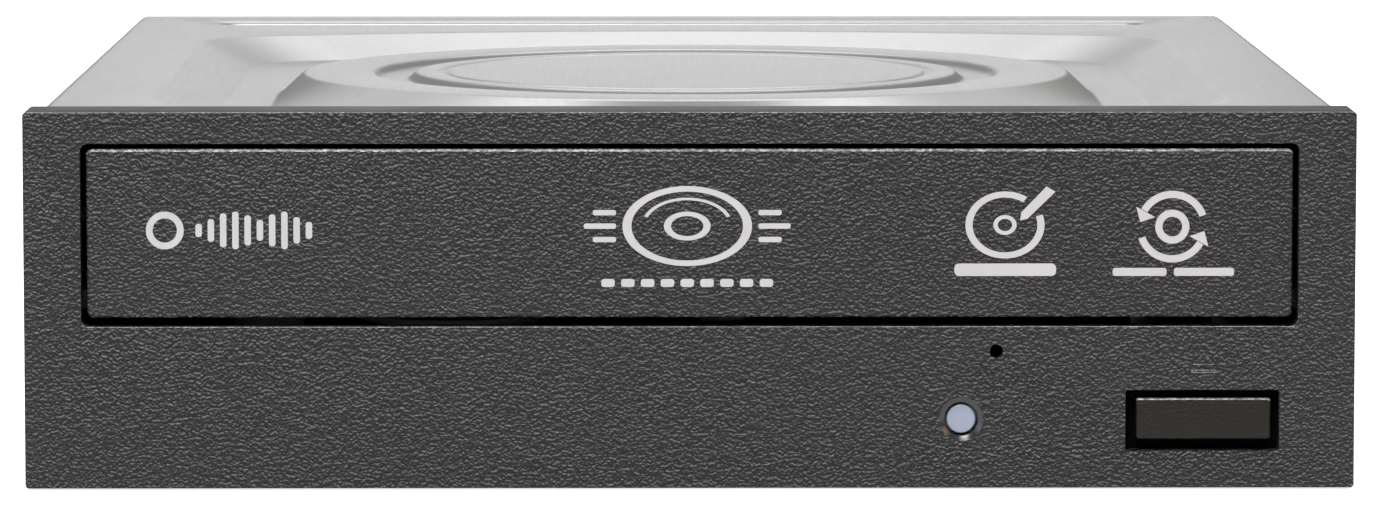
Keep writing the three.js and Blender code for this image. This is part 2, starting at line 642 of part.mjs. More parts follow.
// The bottom cover: a pan with flanges that stand inside the top cover's sides.
function bottomCover() {
  const flangeTop = 26;
  const rear = REAR - SHEET - GAP;
  const plate = block([-PAN_HALF, PAN_HALF], [CASE_FRONT, rear], [CASE_LOW, PAN_TOP]);
  const flangeY = [CASE_FRONT + 2, rear];
  const flanges = [
    block([-PAN_HALF, -PAN_HALF + SHEET], flangeY, [CASE_LOW, flangeTop]),
    block([PAN_HALF - SHEET, PAN_HALF], flangeY, [CASE_LOW, flangeTop]),
  ];
  const dimples = [];
  const hollows = [];
  for (const x of [-COVER_SCREW_X, COVER_SCREW_X]) {
    for (const y of COVER_SCREW_YS) {
      dimples.push(barZ(x, y, [CASE_LOW, PAN_TOP + DIMPLE_DEPTH], DIMPLE_RADIUS + SHEET, 12));
      hollows.push(barZ(x, y, [CASE_LOW - 1, PAN_TOP + DIMPLE_DEPTH - SHEET], DIMPLE_RADIUS, 12));
      hollows.push(barZ(x, y, [CASE_LOW - 1, PAN_TOP + DIMPLE_DEPTH + 1], SCREW_SHANK + GAP, 8));
    }
  }
  const posts = boardPosts().map(([x, y]) => barZ(x, y, [PAN_TOP - 0.2, MAIN_BOARD_LOW - GAP], 2.6, 8));
  const baseHoles = [];
  for (const x of [-BASE_HOLE_SPREAD / 2, BASE_HOLE_SPREAD / 2]) {
    for (const y of SIDE_HOLE_YS) {
      baseHoles.push(barZ(x, y, [CASE_LOW - 1, PAN_TOP + 1], TAPPED_RADIUS - 0.05, 8));
    }
  }
  const pan = join(plate, ...flanges, ...dimples, ...posts);
  return cut(pan, ...hollows, ...baseHoles, ...sideHoles(TAPPED_RADIUS));
}

// Where the main board stands on the bottom cover.
function boardPosts() {
  const places = [];
  for (const x of [-MAIN_BOARD_HALF + 8, MAIN_BOARD_HALF - 8]) {
    for (const y of [MAIN_BOARD_FRONT + 5, MAIN_BOARD_REAR - 18]) {
      places.push([x, y]);
    }
  }
  return places;
}

// ---------------------------------------------------------------- loader frame

// The plastic frame: side walls with tray ledges, a front deck and a rear bar with the pivot brackets.
function loaderFrame() {
  const wallTop = BRIDGE_LOW - GAP - 0.7;
  const wallY = [CASE_FRONT + 0.5, FRAME_REAR];
  const ledgeTop = TRAY_LOW - GAP;
  const pieces = [];
  const holes = [...sideHoles(CLEARANCE_RADIUS + 0.3)];
  for (const side of [-1, 1]) {
    const span = (from, to) => (side < 0 ? [-to, -from] : [from, to]);
    pieces.push(block(span(FRAME_IN, FRAME_OUT), wallY, [FRAME_FOOT, wallTop]));
    const ledgeX = span(TRAY_HALF - LEDGE_UNDER, FRAME_IN + 0.2);
    pieces.push(block(ledgeX, wallY, [ledgeTop - LEDGE_THICK, ledgeTop]));
    for (const y of [CASE_FRONT + 14, SPINDLE_Y, PIVOT_Y - 30]) {
      const tabY = [y - 5, y + 5];
      const tab = block(span(TRAY_HALF + 0.5, FRAME_IN + 0.2), tabY, [TRAY_TOP + GAP + 0.3, wallTop]);
      const lip = block(span(TRAY_HALF - 2, TRAY_HALF + 0.6), tabY, [wallTop - HOLD_DOWN_THICK, wallTop]);
      pieces.push(tab, lip);
    }
    const bossX = span(COVER_SCREW_X - 3.4, FRAME_IN + 0.2);
    for (const y of COVER_SCREW_YS) {
      pieces.push(block(bossX, [y - 3.4, y + 3.4], [PAN_TOP + DIMPLE_DEPTH + GAP, DECK_TOP]));
      holes.push(barZ(side * COVER_SCREW_X, y, [0, DECK_LOW], SCREW_SHANK + GAP, 12));
    }
    const bracketX = span(LIFT_HALF + 1.5, LIFT_HALF + 4.2);
    pieces.push(block(bracketX, [PIVOT_Y - 5, CROSS_BAR_FRONT + 0.5], [PIVOT_Z - 4.5, PIVOT_Z + 4]));
    holes.push(barX(span(LIFT_HALF, LIFT_HALF + 6), PIVOT_Y, PIVOT_Z, PIVOT_RADIUS + 0.35));
    holes.push(barZ(side * BRIDGE_SCREW_X, SPINDLE_Y, [TRAY_TOP - 1, wallTop + 1], SCREW_SHANK, 12));
  }
  const barX0 = FRAME_OUT - 0.2;
  pieces.push(block([-barX0, barX0], [FRONT + DECK_BACK, DECK_REAR], [DECK_LOW, DECK_TOP]));
  const crossBarRear = CROSS_BAR_FRONT + 2.8;
  pieces.push(block([-barX0, barX0], [CROSS_BAR_FRONT, crossBarRear], [PIVOT_Z - 4.5, PIVOT_Z + 4]));
  pieces.push(barZ(DRIVE_GEAR_X, DRIVE_GEAR_Y, [DECK_LOW, TOP_WHEEL_TOP], AXLE_RADIUS, 16));
  pieces.push(barZ(PULLEY_X, PULLEY_Y, [DECK_LOW, PULLEY_TOP], AXLE_RADIUS, 16));
  for (const x of [-6, 6]) {
    const hookX = [x, x + 6];
    pieces.push(block(hookX, [DECK_REAR - 2.6, DECK_REAR], [DECK_LOW, CAM_TOP + GAP + 1.2]));
    pieces.push(block(hookX, [DECK_REAR - 1, CAM_REAR + GAP + 1], [CAM_TOP + GAP, CAM_TOP + GAP + 1.2]));
    pieces.push(block(hookX, [CAM_REAR + GAP, CAM_REAR + GAP + 1], [CAM_TOP - 1.2, CAM_TOP + GAP + 1]));
  }
  const motorHole = LOADING_MOTOR_RADIUS + GAP;
  holes.push(barZ(LOADING_MOTOR_X, LOADING_MOTOR_Y, [DECK_LOW - 1, DECK_TOP + 1], motorHole));
  return cut(join(...pieces), ...holes);
}

// The bridge over the disc that carries the clamper, with two stiffening beads.
function clampBridge() {
  const half = FRAME_IN - 0.4;
  const y = [SPINDLE_Y - BRIDGE_LENGTH / 2, SPINDLE_Y + BRIDGE_LENGTH / 2];
  const plate = standing(roundedRectangle([-half, half], y, 4), [BRIDGE_LOW, BRIDGE_TOP], 3);
  const beads = [];
  for (const edge of [y[0] + 3, y[1] - 3]) {
    beads.push(block([-half + 10, half - 10], [edge - 1, edge + 1], [BRIDGE_TOP - 0.4, BRIDGE_TOP + 1]));
  }
  const holes = [barZ(0, SPINDLE_Y, [BRIDGE_LOW - 1, BRIDGE_TOP + 1], BRIDGE_HOLE_RADIUS, 40)];
  for (const x of [-BRIDGE_SCREW_X, BRIDGE_SCREW_X]) {
    holes.push(barZ(x, SPINDLE_Y, [BRIDGE_LOW - 1, BRIDGE_TOP + 1], SCREW_SHANK + GAP, 12));
  }
  return cut(join(plate, ...beads), ...holes);
}

// The clamper hangs in the bridge by its upper flange.
function clamper() {
  const neck = CLAMPER_RADIUS - 3.4;
  const flangeLow = BRIDGE_TOP + 1.3;
  return turned([
    [0, CLAMPER_LOW],
    [4, CLAMPER_LOW],
    [4.6, CLAMPER_LOW + 0.6],
    [9, CLAMPER_LOW + 0.6],
    [9.6, CLAMPER_LOW],
    [CLAMPER_RADIUS, CLAMPER_LOW],
    [CLAMPER_RADIUS, CLAMPER_LOW + 2],
    [neck, CLAMPER_LOW + 2.6],
    [neck, flangeLow],
    [BRIDGE_HOLE_RADIUS + 1.6, flangeLow],
    [BRIDGE_HOLE_RADIUS + 1.6, flangeLow + 1.2],
    [0, flangeLow + 1.2],
  ]);
}

// ---------------------------------------------------------------- tray and door

function tray() {
  const y = [TRAY_FRONT, TRAY_REAR];
  const body = standing(roundedRectangle([-TRAY_HALF, TRAY_HALF], y, 3), [TRAY_LOW, TRAY_TOP], 3);
  const above = TRAY_TOP + 1;
  const well = barZ(0, SPINDLE_Y, [TRAY_LOW + WELL_FLOOR, above], DISC_RADIUS + DISC_PLAY, 48);
  const smallFloor = TRAY_LOW + SMALL_WELL_FLOOR;
  const smallWell = barZ(0, SPINDLE_Y, [smallFloor, above], SMALL_DISC_RADIUS + DISC_PLAY, 32);
  const slot = capsule([0, SPINDLE_Y], [0, TRAY_REAR + SLOT_RADIUS + 5], SLOT_RADIUS);
  const opening = standing(slot, [TRAY_LOW - 1, above], 14);
  const rearPockets = [];
  const pocketY = [SPINDLE_Y + DISC_RADIUS + 6, TRAY_REAR - 4];
  for (const side of [-1, 1]) {
    const pocketX = side < 0 ? [-TRAY_HALF + 4, -SLOT_RADIUS - 4] : [SLOT_RADIUS + 4, TRAY_HALF - 4];
    rearPockets.push(block(pocketX, pocketY, [TRAY_LOW + WELL_FLOOR, above]));
  }
  const rack = standing(rackOutline(), [RACK_LOW, TRAY_LOW + 0.5]);
  return join(cut(body, well, smallWell, opening, ...rearPockets), rack);
}

// The door: a plate with a shallow hollow behind, fixed to the front of the tray.
function trayDoor() {
  const outside = roundedRectangle([-DOOR_HALF, DOOR_HALF], [DOOR_LOW, DOOR_HIGH], CORNER - 0.2);
  const wall = 1.8;
  const hollowX = [-DOOR_HALF + wall, DOOR_HALF - wall];
  const upper = [TRAY_TOP + 1.5, DOOR_HIGH - wall];
  return cut(
    facing(outside, [DOOR_FRONT, DOOR_REAR]),
    block(hollowX, [DOOR_FRONT + DOOR_SKIN, DOOR_REAR + 1], upper),
  );
}

// ---------------------------------------------------------------- eject and light

// The eject button with the flange that keeps it behind the bezel and the stem to its switch.
function ejectButton() {
  const half = BUTTON_WIDTH / 2;
  const rise = BUTTON_HEIGHT / 2;
  const behind = FRONT + BEZEL_FACE + GAP;
  const cap = facing(
    roundedRectangle([BUTTON_X - half, BUTTON_X + half], [BUTTON_Z - rise, BUTTON_Z + rise], 0.6),
    [FRONT + DOOR_SET_BACK, behind + 1],
  );
  const flangeReach = BUTTON_WINDOW_GAP + 1;
  const flange = block(
    [BUTTON_X - half - flangeReach, BUTTON_X + half + flangeReach],
    [behind, behind + 1],
    [BUTTON_Z - rise - flangeReach, BUTTON_Z + rise + flangeReach],
  );
  const stemX = [BUTTON_X - STEM_HALF, BUTTON_X + STEM_HALF];
  const stem = block(stemX, [behind + 0.5, SWITCH_FRONT - BUTTON_TRAVEL - 0.1], [6.2, 7.8]);
  return join(cap, flange, stem);
}

// The light pipe: a round lens at the bezel, straight back to its lamp.
function lightPipe() {
  const lens = barY(LIGHT_X, [FRONT + 0.5, FRONT + DECK_BACK - 0.5], LIGHT_Z, LIGHT_RADIUS, 20);
  const collarFront = FRONT + BEZEL_FACE + GAP;
  const collar = barY(LIGHT_X, [collarFront, collarFront + 1.2], LIGHT_Z, LIGHT_RADIUS + 1, 20);
  return join(lens, collar);
}

// ---------------------------------------------------------------- loading train

function driveGear() {
  const lower = standing(gearOutline(LOW_WHEEL_TEETH, MESH_ANGLE), [LOW_WHEEL_LOW, LOW_WHEEL_TOP]);
  const neck = barZ(0, 0, [LOW_WHEEL_LOW, TOP_WHEEL_TOP], 4);
  const gapPhase = Math.PI + Math.PI / TOP_WHEEL_TEETH;
  const upper = standing(gearOutline(TOP_WHEEL_TEETH, gapPhase), [TOP_WHEEL_LOW, TOP_WHEEL_TOP]);
  const bore = barZ(0, 0, [0, HEIGHT], AXLE_RADIUS + GAP, 16);
  return cut(join(lower, neck, upper), bore);
}

function beltPulley(grooveRadius) {
  const rim = grooveRadius + 1.1;
  return turned([
    [0, PULLEY_LOW],
    [rim, PULLEY_LOW],
    [rim, PULLEY_LOW + FLANGE],
    [grooveRadius, PULLEY_LOW + FLANGE + 0.1],
    [grooveRadius, PULLEY_TOP - FLANGE - 0.1],
    [rim, PULLEY_TOP - FLANGE],
    [rim, PULLEY_TOP],
    [0, PULLEY_TOP],
  ]);
}

function pulleyGear() {
  const gapPhase = MESH_ANGLE + Math.PI + Math.PI / PINION_TEETH;
  const pinion = standing(gearOutline(PINION_TEETH, gapPhase), [LOW_WHEEL_LOW, PULLEY_LOW + 0.2]);
  const bore = barZ(0, 0, [0, HEIGHT], AXLE_RADIUS + GAP, 16);
  return cut(join(pinion, beltPulley(PULLEY_RADIUS)), bore);
}

const MOTOR_TOP = PULLEY_LOW - 0.6;
const MOTOR_BORE_LOW = MOTOR_TOP - 3;

// The motor's pulley with the end of its shaft.
function motorPulley() {
  return join(beltPulley(MOTOR_PULLEY_RADIUS), barZ(0, 0, [MOTOR_BORE_LOW + GAP, PULLEY_LOW + 0.2], 1, 12));
}

// The loading motor: a round can with a collar, standing on the bottom cover.
function loadingMotor() {
  const low = PAN_TOP + GAP;
  const can = turned([
    [0, low],
    [LOADING_MOTOR_RADIUS - 0.8, low],
    [LOADING_MOTOR_RADIUS, low + 0.8],
    [LOADING_MOTOR_RADIUS, MOTOR_TOP - 1.6],
    [LOADING_MOTOR_RADIUS - 0.6, MOTOR_TOP - 1],
    [3.2, MOTOR_TOP - 1],
    [3.2, MOTOR_TOP],
    [0, MOTOR_TOP],
  ]);
  return cut(can, barZ(0, 0, [MOTOR_BORE_LOW, HEIGHT], 1 + GAP, 12));
}

// The outline of a belt round both pulleys, at a distance from their grooves.
function beltOutline(offset) {
  const [bigR, smallR] = [PULLEY_RADIUS + offset, MOTOR_PULLEY_RADIUS + offset];
  const span = Math.hypot(LOADING_MOTOR_X - PULLEY_X, LOADING_MOTOR_Y - PULLEY_Y);
  const heading = Math.atan2(LOADING_MOTOR_Y - PULLEY_Y, LOADING_MOTOR_X - PULLEY_X);
  const lean = Math.acos((bigR - smallR) / span);
  const shape = new THREE.Shape();
  shape.absarc(PULLEY_X, PULLEY_Y, bigR, heading + lean, heading - lean + 2 * Math.PI);
  shape.absarc(LOADING_MOTOR_X, LOADING_MOTOR_Y, smallR, heading - lean, heading + lean);
  return shape;
}

function loadingBelt() {
  const outer = beltOutline(GAP + BELT_THICK);
  const inner = beltOutline(GAP);
  const z = [BELT_LOW, BELT_TOP];
  return cut(standing(outer, z, 12), standing(inner, [z[0] - 1, z[1] + 1], 12));
}

// ---------------------------------------------------------------- lift

// The cam slider: an upright plate with two inclined slots and the ramp behind the emergency hole.
function camSlider() {
  const plate = block([CAM_LEFT, CAM_RIGHT], [CAM_FRONT, CAM_REAR], [CAM_LOW, CAM_TOP]);
  const slots = [-CAM_PIN_X, CAM_PIN_X].map((x) =>
    facing(
      capsule([x, PIVOT_Z], [x - CAM_TRAVEL, PIVOT_Z - CAM_DROP], CAM_SLOT_RADIUS),
      [CAM_FRONT - 1, CAM_REAR + 1],
    ),
  );
  const rampRight = HATCH_X + 2;
  const ramp = standing(
    polygon([
      [rampRight - RAMP_LENGTH, CAM_FRONT + 0.5],
      [rampRight - RAMP_LENGTH, CAM_FRONT - 0.2],
      [rampRight, CAM_FRONT - RAMP_REACH],
      [rampRight, CAM_FRONT + 0.5],
    ]),
    [HATCH_Z - 1.8, CAM_TOP],
  );
  return join(cut(plate, ...slots), ramp);
}

// The lift frame: a rectangular ring with pivot pins at the rear and cam pins at the front.
function liftFrame() {
  const outer = block([-LIFT_HALF, LIFT_HALF], [LIFT_FRONT, LIFT_REAR], [LIFT_LOW, LIFT_TOP]);
  const innerY = [LIFT_FRONT + LIFT_BAR, LIFT_REAR - LIFT_BAR];
  const inner = block([-LIFT_IN, LIFT_IN], innerY, [LIFT_LOW - 1, LIFT_TOP + 1]);
  const pieces = [];
  const holes = [];
  for (const side of [-1, 1]) {
    const span = (from, to) => (side < 0 ? [-to, -from] : [from, to]);
    pieces.push(barX(span(LIFT_HALF - 1, LIFT_HALF + PIVOT_LENGTH), PIVOT_Y, PIVOT_Z, PIVOT_RADIUS));
    pieces.push(barY(side * CAM_PIN_X, [CAM_FRONT - 0.2, LIFT_FRONT + 1], PIVOT_Z, CAM_PIN_RADIUS));
    for (const y of damperYs()) {
      pieces.push(block(span(DAMPER_X - 3, LIFT_IN + 1), [y - 4, y + 4], [LIFT_LOW, LIFT_TOP]));
      holes.push(barZ(side * DAMPER_X, y, [LIFT_LOW + 1, LIFT_TOP + 1], SCREW_SHANK + GAP, 12));
    }
  }
  return cut(join(cut(outer, inner), ...pieces), ...holes);
}

const damperYs = () => [FRONT + DAMPER_FRONT_BACK, FRONT + DAMPER_REAR_BACK];

const DAMPER_LOW = LIFT_TOP + GAP;
const DAMPER_TOP = PLATE_TOP + 1.2;
const DAMPER_NECK = DAMPER_RADIUS - 1.4;

// A rubber spool that carries one corner of the traverse plate.
function damper() {
  const bore = SCREW_SHANK + GAP;
  return turned(
    [
      [bore, DAMPER_LOW],
      [DAMPER_RADIUS, DAMPER_LOW],
      [DAMPER_RADIUS, PLATE_LOW - GAP],
      [DAMPER_NECK, PLATE_LOW - GAP],
      [DAMPER_NECK, PLATE_TOP + GAP],
      [DAMPER_RADIUS, PLATE_TOP + GAP],
      [DAMPER_RADIUS, DAMPER_TOP],
      [bore, DAMPER_TOP],
      [bore, DAMPER_LOW],
    ],
    12,
  );
}

// A screw with a flat head; headLow is the underside of the head, and the shank points down.
function screw(headLow, shankLow, headRadius = SCREW_HEAD) {
  return turned(
    [
      [0, shankLow],
      [SCREW_SHANK - THREAD_PLAY, shankLow],
      [SCREW_SHANK - THREAD_PLAY, headLow],
      [headRadius, headLow],
      [headRadius, headLow + SCREW_HEAD_THICK - 0.3],
      [headRadius - 0.5, headLow + SCREW_HEAD_THICK],
      [0, headLow + SCREW_HEAD_THICK],
    ],
    10,
  );
}

// ---------------------------------------------------------------- traverse

const rodTab = (x, width, y) =>
  block([x - width / 2, x + width / 2], [y, y + ROD_TAB], [ROD_Z - 3, PLATE_LOW + 0.5]);

// The steel plate with its window for the pickup and the tabs that hold rods and lead screw.
function traversePlate() {
  const outline = roundedRectangle([-PLATE_HALF, PLATE_HALF], [PLATE_FRONT, PLATE_REAR], 4);
  const plate = standing(outline, [PLATE_LOW, PLATE_TOP], 3);
  const z = [PLATE_LOW - 1, PLATE_TOP + 1];
  const holes = [
    block([WINDOW_LEFT, WINDOW_RIGHT], [WINDOW_FRONT, WINDOW_REAR], z),
    barZ(0, SPINDLE_Y, z, SPINDLE_MOTOR_RADIUS + 0.5, 32),
    block(
      [SCREW_X - SLED_MOTOR_RADIUS - 0.6, WINDOW_RIGHT],
      [SLED_MOTOR_FRONT - 0.6, WINDOW_FRONT + 1],
      z,
    ),
  ];
  for (const x of [-DAMPER_X, DAMPER_X]) {
    for (const y of damperYs()) {
      holes.push(barZ(x, y, z, DAMPER_NECK + GAP, 20));
    }
  }
  const tabs = [
    rodTab(-ROD_X, 7, ROD_TAB_FRONT),
    rodTab(ROD_X, 7, ROD_TAB_FRONT),
    rodTab(-ROD_X, 7, ROD_TAB_REAR),
    rodTab((ROD_X + SCREW_X) / 2, SCREW_X - ROD_X + 7, ROD_TAB_REAR),
  ];
  const bores = [
    barY(-ROD_X, [ROD_TAB_FRONT - 1, ROD_TAB_REAR + ROD_TAB + 1], ROD_Z, ROD_RADIUS + GAP),
    barY(ROD_X, [ROD_TAB_FRONT - 1, ROD_TAB_REAR + ROD_TAB + 1], ROD_Z, ROD_RADIUS + GAP),
    barY(SCREW_X, [ROD_TAB_REAR - 1, ROD_TAB_REAR + ROD_TAB + 1], ROD_Z, SCREW_RADIUS + GAP),
  ];
  return cut(join(cut(plate, ...holes), ...tabs), ...bores);
}

const SLED_MOTOR_REAR = ROD_TAB_FRONT - 2;
const SLED_MOTOR_FRONT = SLED_MOTOR_REAR - SLED_MOTOR_LENGTH;
const guideRod = () => barY(0, [ROD_TAB_FRONT + 0.2, ROD_TAB_REAR + ROD_TAB - 0.2], 0, ROD_RADIUS);

function sledMotor() {
  const can = barY(0, [SLED_MOTOR_FRONT, SLED_MOTOR_REAR], 0, SLED_MOTOR_RADIUS, 24);
  const nose = barY(0, [SLED_MOTOR_REAR - 1, SLED_MOTOR_REAR + 1], 0, 2.4, 16);
  return cut(join(can, nose), barY(0, [SLED_MOTOR_REAR - 3, SLED_MOTOR_REAR + 2], 0, SCREW_RADIUS + GAP));
}

// The lead screw, from inside its motor to the rear tab. Its fine thread is left as a plain rod.
function leadScrew() {
  return barY(0, [SLED_MOTOR_REAR - 2.5, ROD_TAB_REAR + ROD_TAB - 0.2], 0, SCREW_RADIUS);
}

// The spindle motor's fixed can, with a bore for the turntable's shaft.
function spindleMotor() {
  const low = LIFT_TOP - 2;
  const top = SEAT_Z - 4.2;
  const can = turned([
    [0, low],
    [SPINDLE_MOTOR_RADIUS, low],
    [SPINDLE_MOTOR_RADIUS, top - 0.8],
    [SPINDLE_MOTOR_RADIUS - 0.8, top],
    [0, top],
  ]);
  return cut(can, barZ(0, 0, [low + 1, HEIGHT], ROD_RADIUS + GAP, 16));
}

// The turntable: a disc seat, a hub that centres the disc, and the shaft into the motor.
function turntable() {
  const hub = DISC_HOLE_RADIUS - 0.15;
  const hubTop = CLAMPER_LOW - 0.6;
  const underside = SEAT_Z - 2;
  return turned([
    [0, LIFT_TOP - 0.5],
    [ROD_RADIUS, LIFT_TOP - 0.5],
    [ROD_RADIUS, underside - 1],
    [5, underside - 1],
    [5, underside],
    [TURNTABLE_RADIUS, underside],
    [TURNTABLE_RADIUS, SEAT_Z - 0.3],
    [RUBBER_OUTER + GAP, SEAT_Z - 0.3],
    [RUBBER_OUTER + GAP, SEAT_Z - 0.9],
    [RUBBER_INNER - GAP, SEAT_Z - 0.9],
    [RUBBER_INNER - GAP, SEAT_Z - 0.3],
    [hub, SEAT_Z - 0.3],
    [hub, hubTop - 1],
    [hub - 1.2, hubTop],
    [0, hubTop],
  ]);
}

const RUBBER_OUTER = TURNTABLE_RADIUS - 1;
const RUBBER_INNER = RUBBER_OUTER - 2.4;

function rubberRing() {
  return turned([
    [RUBBER_INNER, SEAT_Z - 0.6],
    [RUBBER_OUTER, SEAT_Z - 0.6],
    [RUBBER_OUTER, SEAT_Z],
    [RUBBER_INNER, SEAT_Z],
    [RUBBER_INNER, SEAT_Z - 0.6],
  ]);
}

// ---------------------------------------------------------------- pickup

const PICKUP_Y = (PICKUP_FRONT + PICKUP_REAR) / 2;
const YOKE_LOW = PICKUP_TOP + GAP;
const YOKE_BASE = 0.6;
const YOKE_HALF = 11;
const HOLDER_HALF = 8.5;
const HOLDER_LOW = YOKE_LOW + YOKE_BASE + 0.5;
const HOLDER_TOP = HOLDER_LOW + 2.3;
const LENS_RADII = [2.2, 1.7];
const LENS_SPREAD = 3.6; // each lens from the middle of the holder

// The die-cast pickup body that slides on both rods.
function pickupBody() {
  const outline = roundedRectangle([-PICKUP_HALF, PICKUP_HALF], [PICKUP_FRONT, PICKUP_REAR], 2);
  const notchReach = 8;
  const notchZ = [PICKUP_LOW - 1, PICKUP_TOP + 1];
  const notch = barZ(0, SPINDLE_Y, notchZ, SPINDLE_MOTOR_RADIUS + 1.2, 32);
  const run = [PICKUP_FRONT - 1, PICKUP_REAR + 1];
  const sideCuts = [
    block([-PICKUP_HALF - 1, -PICKUP_HALF + notchReach], [PICKUP_Y - 4, PICKUP_Y + 4], notchZ),
    block([PICKUP_HALF - 6.2, PICKUP_HALF + 1], run, [ROD_Z + 2.6, PICKUP_TOP + 1]),
  ];
  return cut(
    standing(outline, [PICKUP_LOW, PICKUP_TOP], 3),
    notch,
    barY(-ROD_X, run, ROD_Z, ROD_RADIUS + GAP),
    barY(ROD_X, run, ROD_Z, ROD_RADIUS + GAP),
    ...sideCuts,
  );
}

// The nut that follows the lead screw.
function feedNut() {
  const y = [PICKUP_Y - 4, PICKUP_Y + 4];
  const nut = block([PICKUP_HALF + GAP, SCREW_X + 3.6], y, [ROD_Z - 2.6, ROD_Z + 2.8]);
  return cut(nut, barY(SCREW_X, [y[0] - 1, y[1] + 1], ROD_Z, SCREW_RADIUS + GAP));
}

// The steel yoke round the lens holder, with an upright at each end.
function actuatorYoke() {
  const y = [PICKUP_Y - 6, PICKUP_Y + 6];
  const base = block([-YOKE_HALF, YOKE_HALF], y, [YOKE_LOW, YOKE_LOW + YOKE_BASE]);
  const uprights = [-1, 1].map((side) => {
    const x = side < 0 ? [-YOKE_HALF, -YOKE_HALF + 1] : [YOKE_HALF - 1, YOKE_HALF];
    return block(x, y, [YOKE_LOW, HOLDER_TOP]);
  });
  return join(base, ...uprights);
}

const yokeMagnet = (side) => {
  const near = HOLDER_HALF + 0.3;
  const far = YOKE_HALF - 1 - GAP;
  const x = side < 0 ? [-far, -near] : [near, far];
  return block(x, [PICKUP_Y - 4, PICKUP_Y + 4], [YOKE_LOW + YOKE_BASE + GAP, HOLDER_TOP - 0.2]);
};

// The plastic holder for both lenses.
function lensHolder() {
  const outline = roundedRectangle([-HOLDER_HALF, HOLDER_HALF], [PICKUP_Y - 4.6, PICKUP_Y + 4.6], 1.5);
  const seats = LENS_RADII.map((radius, i) =>
    barZ((i ? 1 : -1) * LENS_SPREAD, PICKUP_Y, [HOLDER_TOP - 1.4, HOLDER_TOP + 1], radius + GAP, 20),
  );
  return cut(standing(outline, [HOLDER_LOW, HOLDER_TOP], 3), ...seats);
}

// A plano-convex lens in its seat.
function lens(radius) {
  const low = HOLDER_TOP - 1.4 + GAP;
  return turned(
    [
      [0, low],
      [radius, low],
      [radius, low + 1],
      [radius * 0.7, low + 1.35],
      [0, low + 1.55],
    ],
    20,
  );
}

// ---------------------------------------------------------------- electronics

function mainBoard() {
  const boardY = [MAIN_BOARD_FRONT, MAIN_BOARD_REAR];
  const outline = roundedRectangle([-MAIN_BOARD_HALF, MAIN_BOARD_HALF], boardY, 2);
  const bosses = [-1, 1].map((side) => {
    const edges = [COVER_SCREW_X - 4.2, MAIN_BOARD_HALF + 1];
    const x = side < 0 ? [-edges[1], -edges[0]] : edges;
    return block(x, [COVER_SCREW_YS[1] - 4.4, COVER_SCREW_YS[1] + 4.4], [0, HEIGHT]);
  });
  const holes = boardPosts().map(([x, y]) => barZ(x, y, [0, HEIGHT], 1.2, 12));
  return cut(standing(outline, [MAIN_BOARD_LOW, MAIN_BOARD_TOP], 3), ...bosses, ...holes);
}

// The front board carries the eject switch and the lamp.
function frontBoard() {
  const x = [FRONT_BOARD_LEFT, FRONT_BOARD_RIGHT];
  const board = block(x, [FRONT_BOARD_FRONT, FRONT_BOARD_REAR], [FRONT_BOARD_LOW, FRONT_BOARD_TOP]);
  const corner = COVER_SCREW_X - 4.2;
  const boss = block([corner, x[1] + 1], [COVER_SCREW_YS[0] - 4.4, COVER_SCREW_YS[0] + 4.4], [0, HEIGHT]);
  return cut(board, boss);
}

// A socket with a contact tongue, open to the rear.
function connector(width) {
  const low = MAIN_BOARD_TOP + GAP;
  const high = MAIN_BOARD_TOP + CONNECTOR_HEIGHT;
  const wall = 0.9;
  const y = [REAR - CONNECTOR_LENGTH, REAR - 0.2];
  const shell = block([-width / 2, width / 2], y, [low, high]);
  const cavityX = [-width / 2 + wall, width / 2 - wall];
  const cavity = block(cavityX, [y[0] + 4, y[1] + 1], [low + wall, high - wall]);
  const tongueZ = (low + high) / 2;
  const tongueX = [cavityX[0] + 1, cavityX[1] - 1.4];
  const tongue = block(tongueX, [y[0] + 3, y[1] - 1], [tongueZ - 0.6, tongueZ + 0.6]);
  return join(cut(shell, cavity), tongue);
}

// The flat cable from the front board to the main board, along the floor.
function frontRibbon() {
  const left = CAM_RIGHT + CAM_TRAVEL + 1;
  const x = [left, left + RIBBON_WIDTH];
  const low = PAN_TOP + 0.25;
  const thick = 0.3;
  const front = FRONT_BOARD_REAR + GAP;
  const rear = MAIN_BOARD_FRONT - GAP;
  const profile = polygon([
    [front, FRONT_BOARD_LOW + 0.3],
    [front + 3, FRONT_BOARD_LOW + 0.3],
    [front + 5.5, low],
    [rear - 5.5, low],
    [rear - 3, MAIN_BOARD_LOW + 0.5],
    [rear, MAIN_BOARD_LOW + 0.5],
    [rear, MAIN_BOARD_LOW + 0.5 + thick],
    [rear - 3.1, MAIN_BOARD_LOW + 0.5 + thick],
    [rear - 5.6, low + thick],
    [front + 5.6, low + thick],
    [front + 3.1, FRONT_BOARD_LOW + 0.3 + thick],
    [front, FRONT_BOARD_LOW + 0.3 + thick],
  ]);
  return across(profile, x);
}

// ---------------------------------------------------------------- assembly

const group = new THREE.Group();

// Puts a solid into an assembly as a named piece, at a place in the drive.
function place(parent, name, form, material, [x, y, z] = [0, 0, 0]) {
  const { vertProperties, triVerts } = form.getMesh();
  const geometry = new THREE.BufferGeometry();
  geometry.setAttribute('position', new THREE.BufferAttribute(vertProperties, 3));
  geometry.setIndex(new THREE.BufferAttribute(triVerts, 1));
  geometry.computeVertexNormals();
  const mesh = new THREE.Mesh(geometry, material);
  mesh.name = name;
  mesh.position.set(x, y, z);
  parent.add(mesh);
}

function assembly() {
  const part = new THREE.Group();
  group.add(part);
  return part;
}

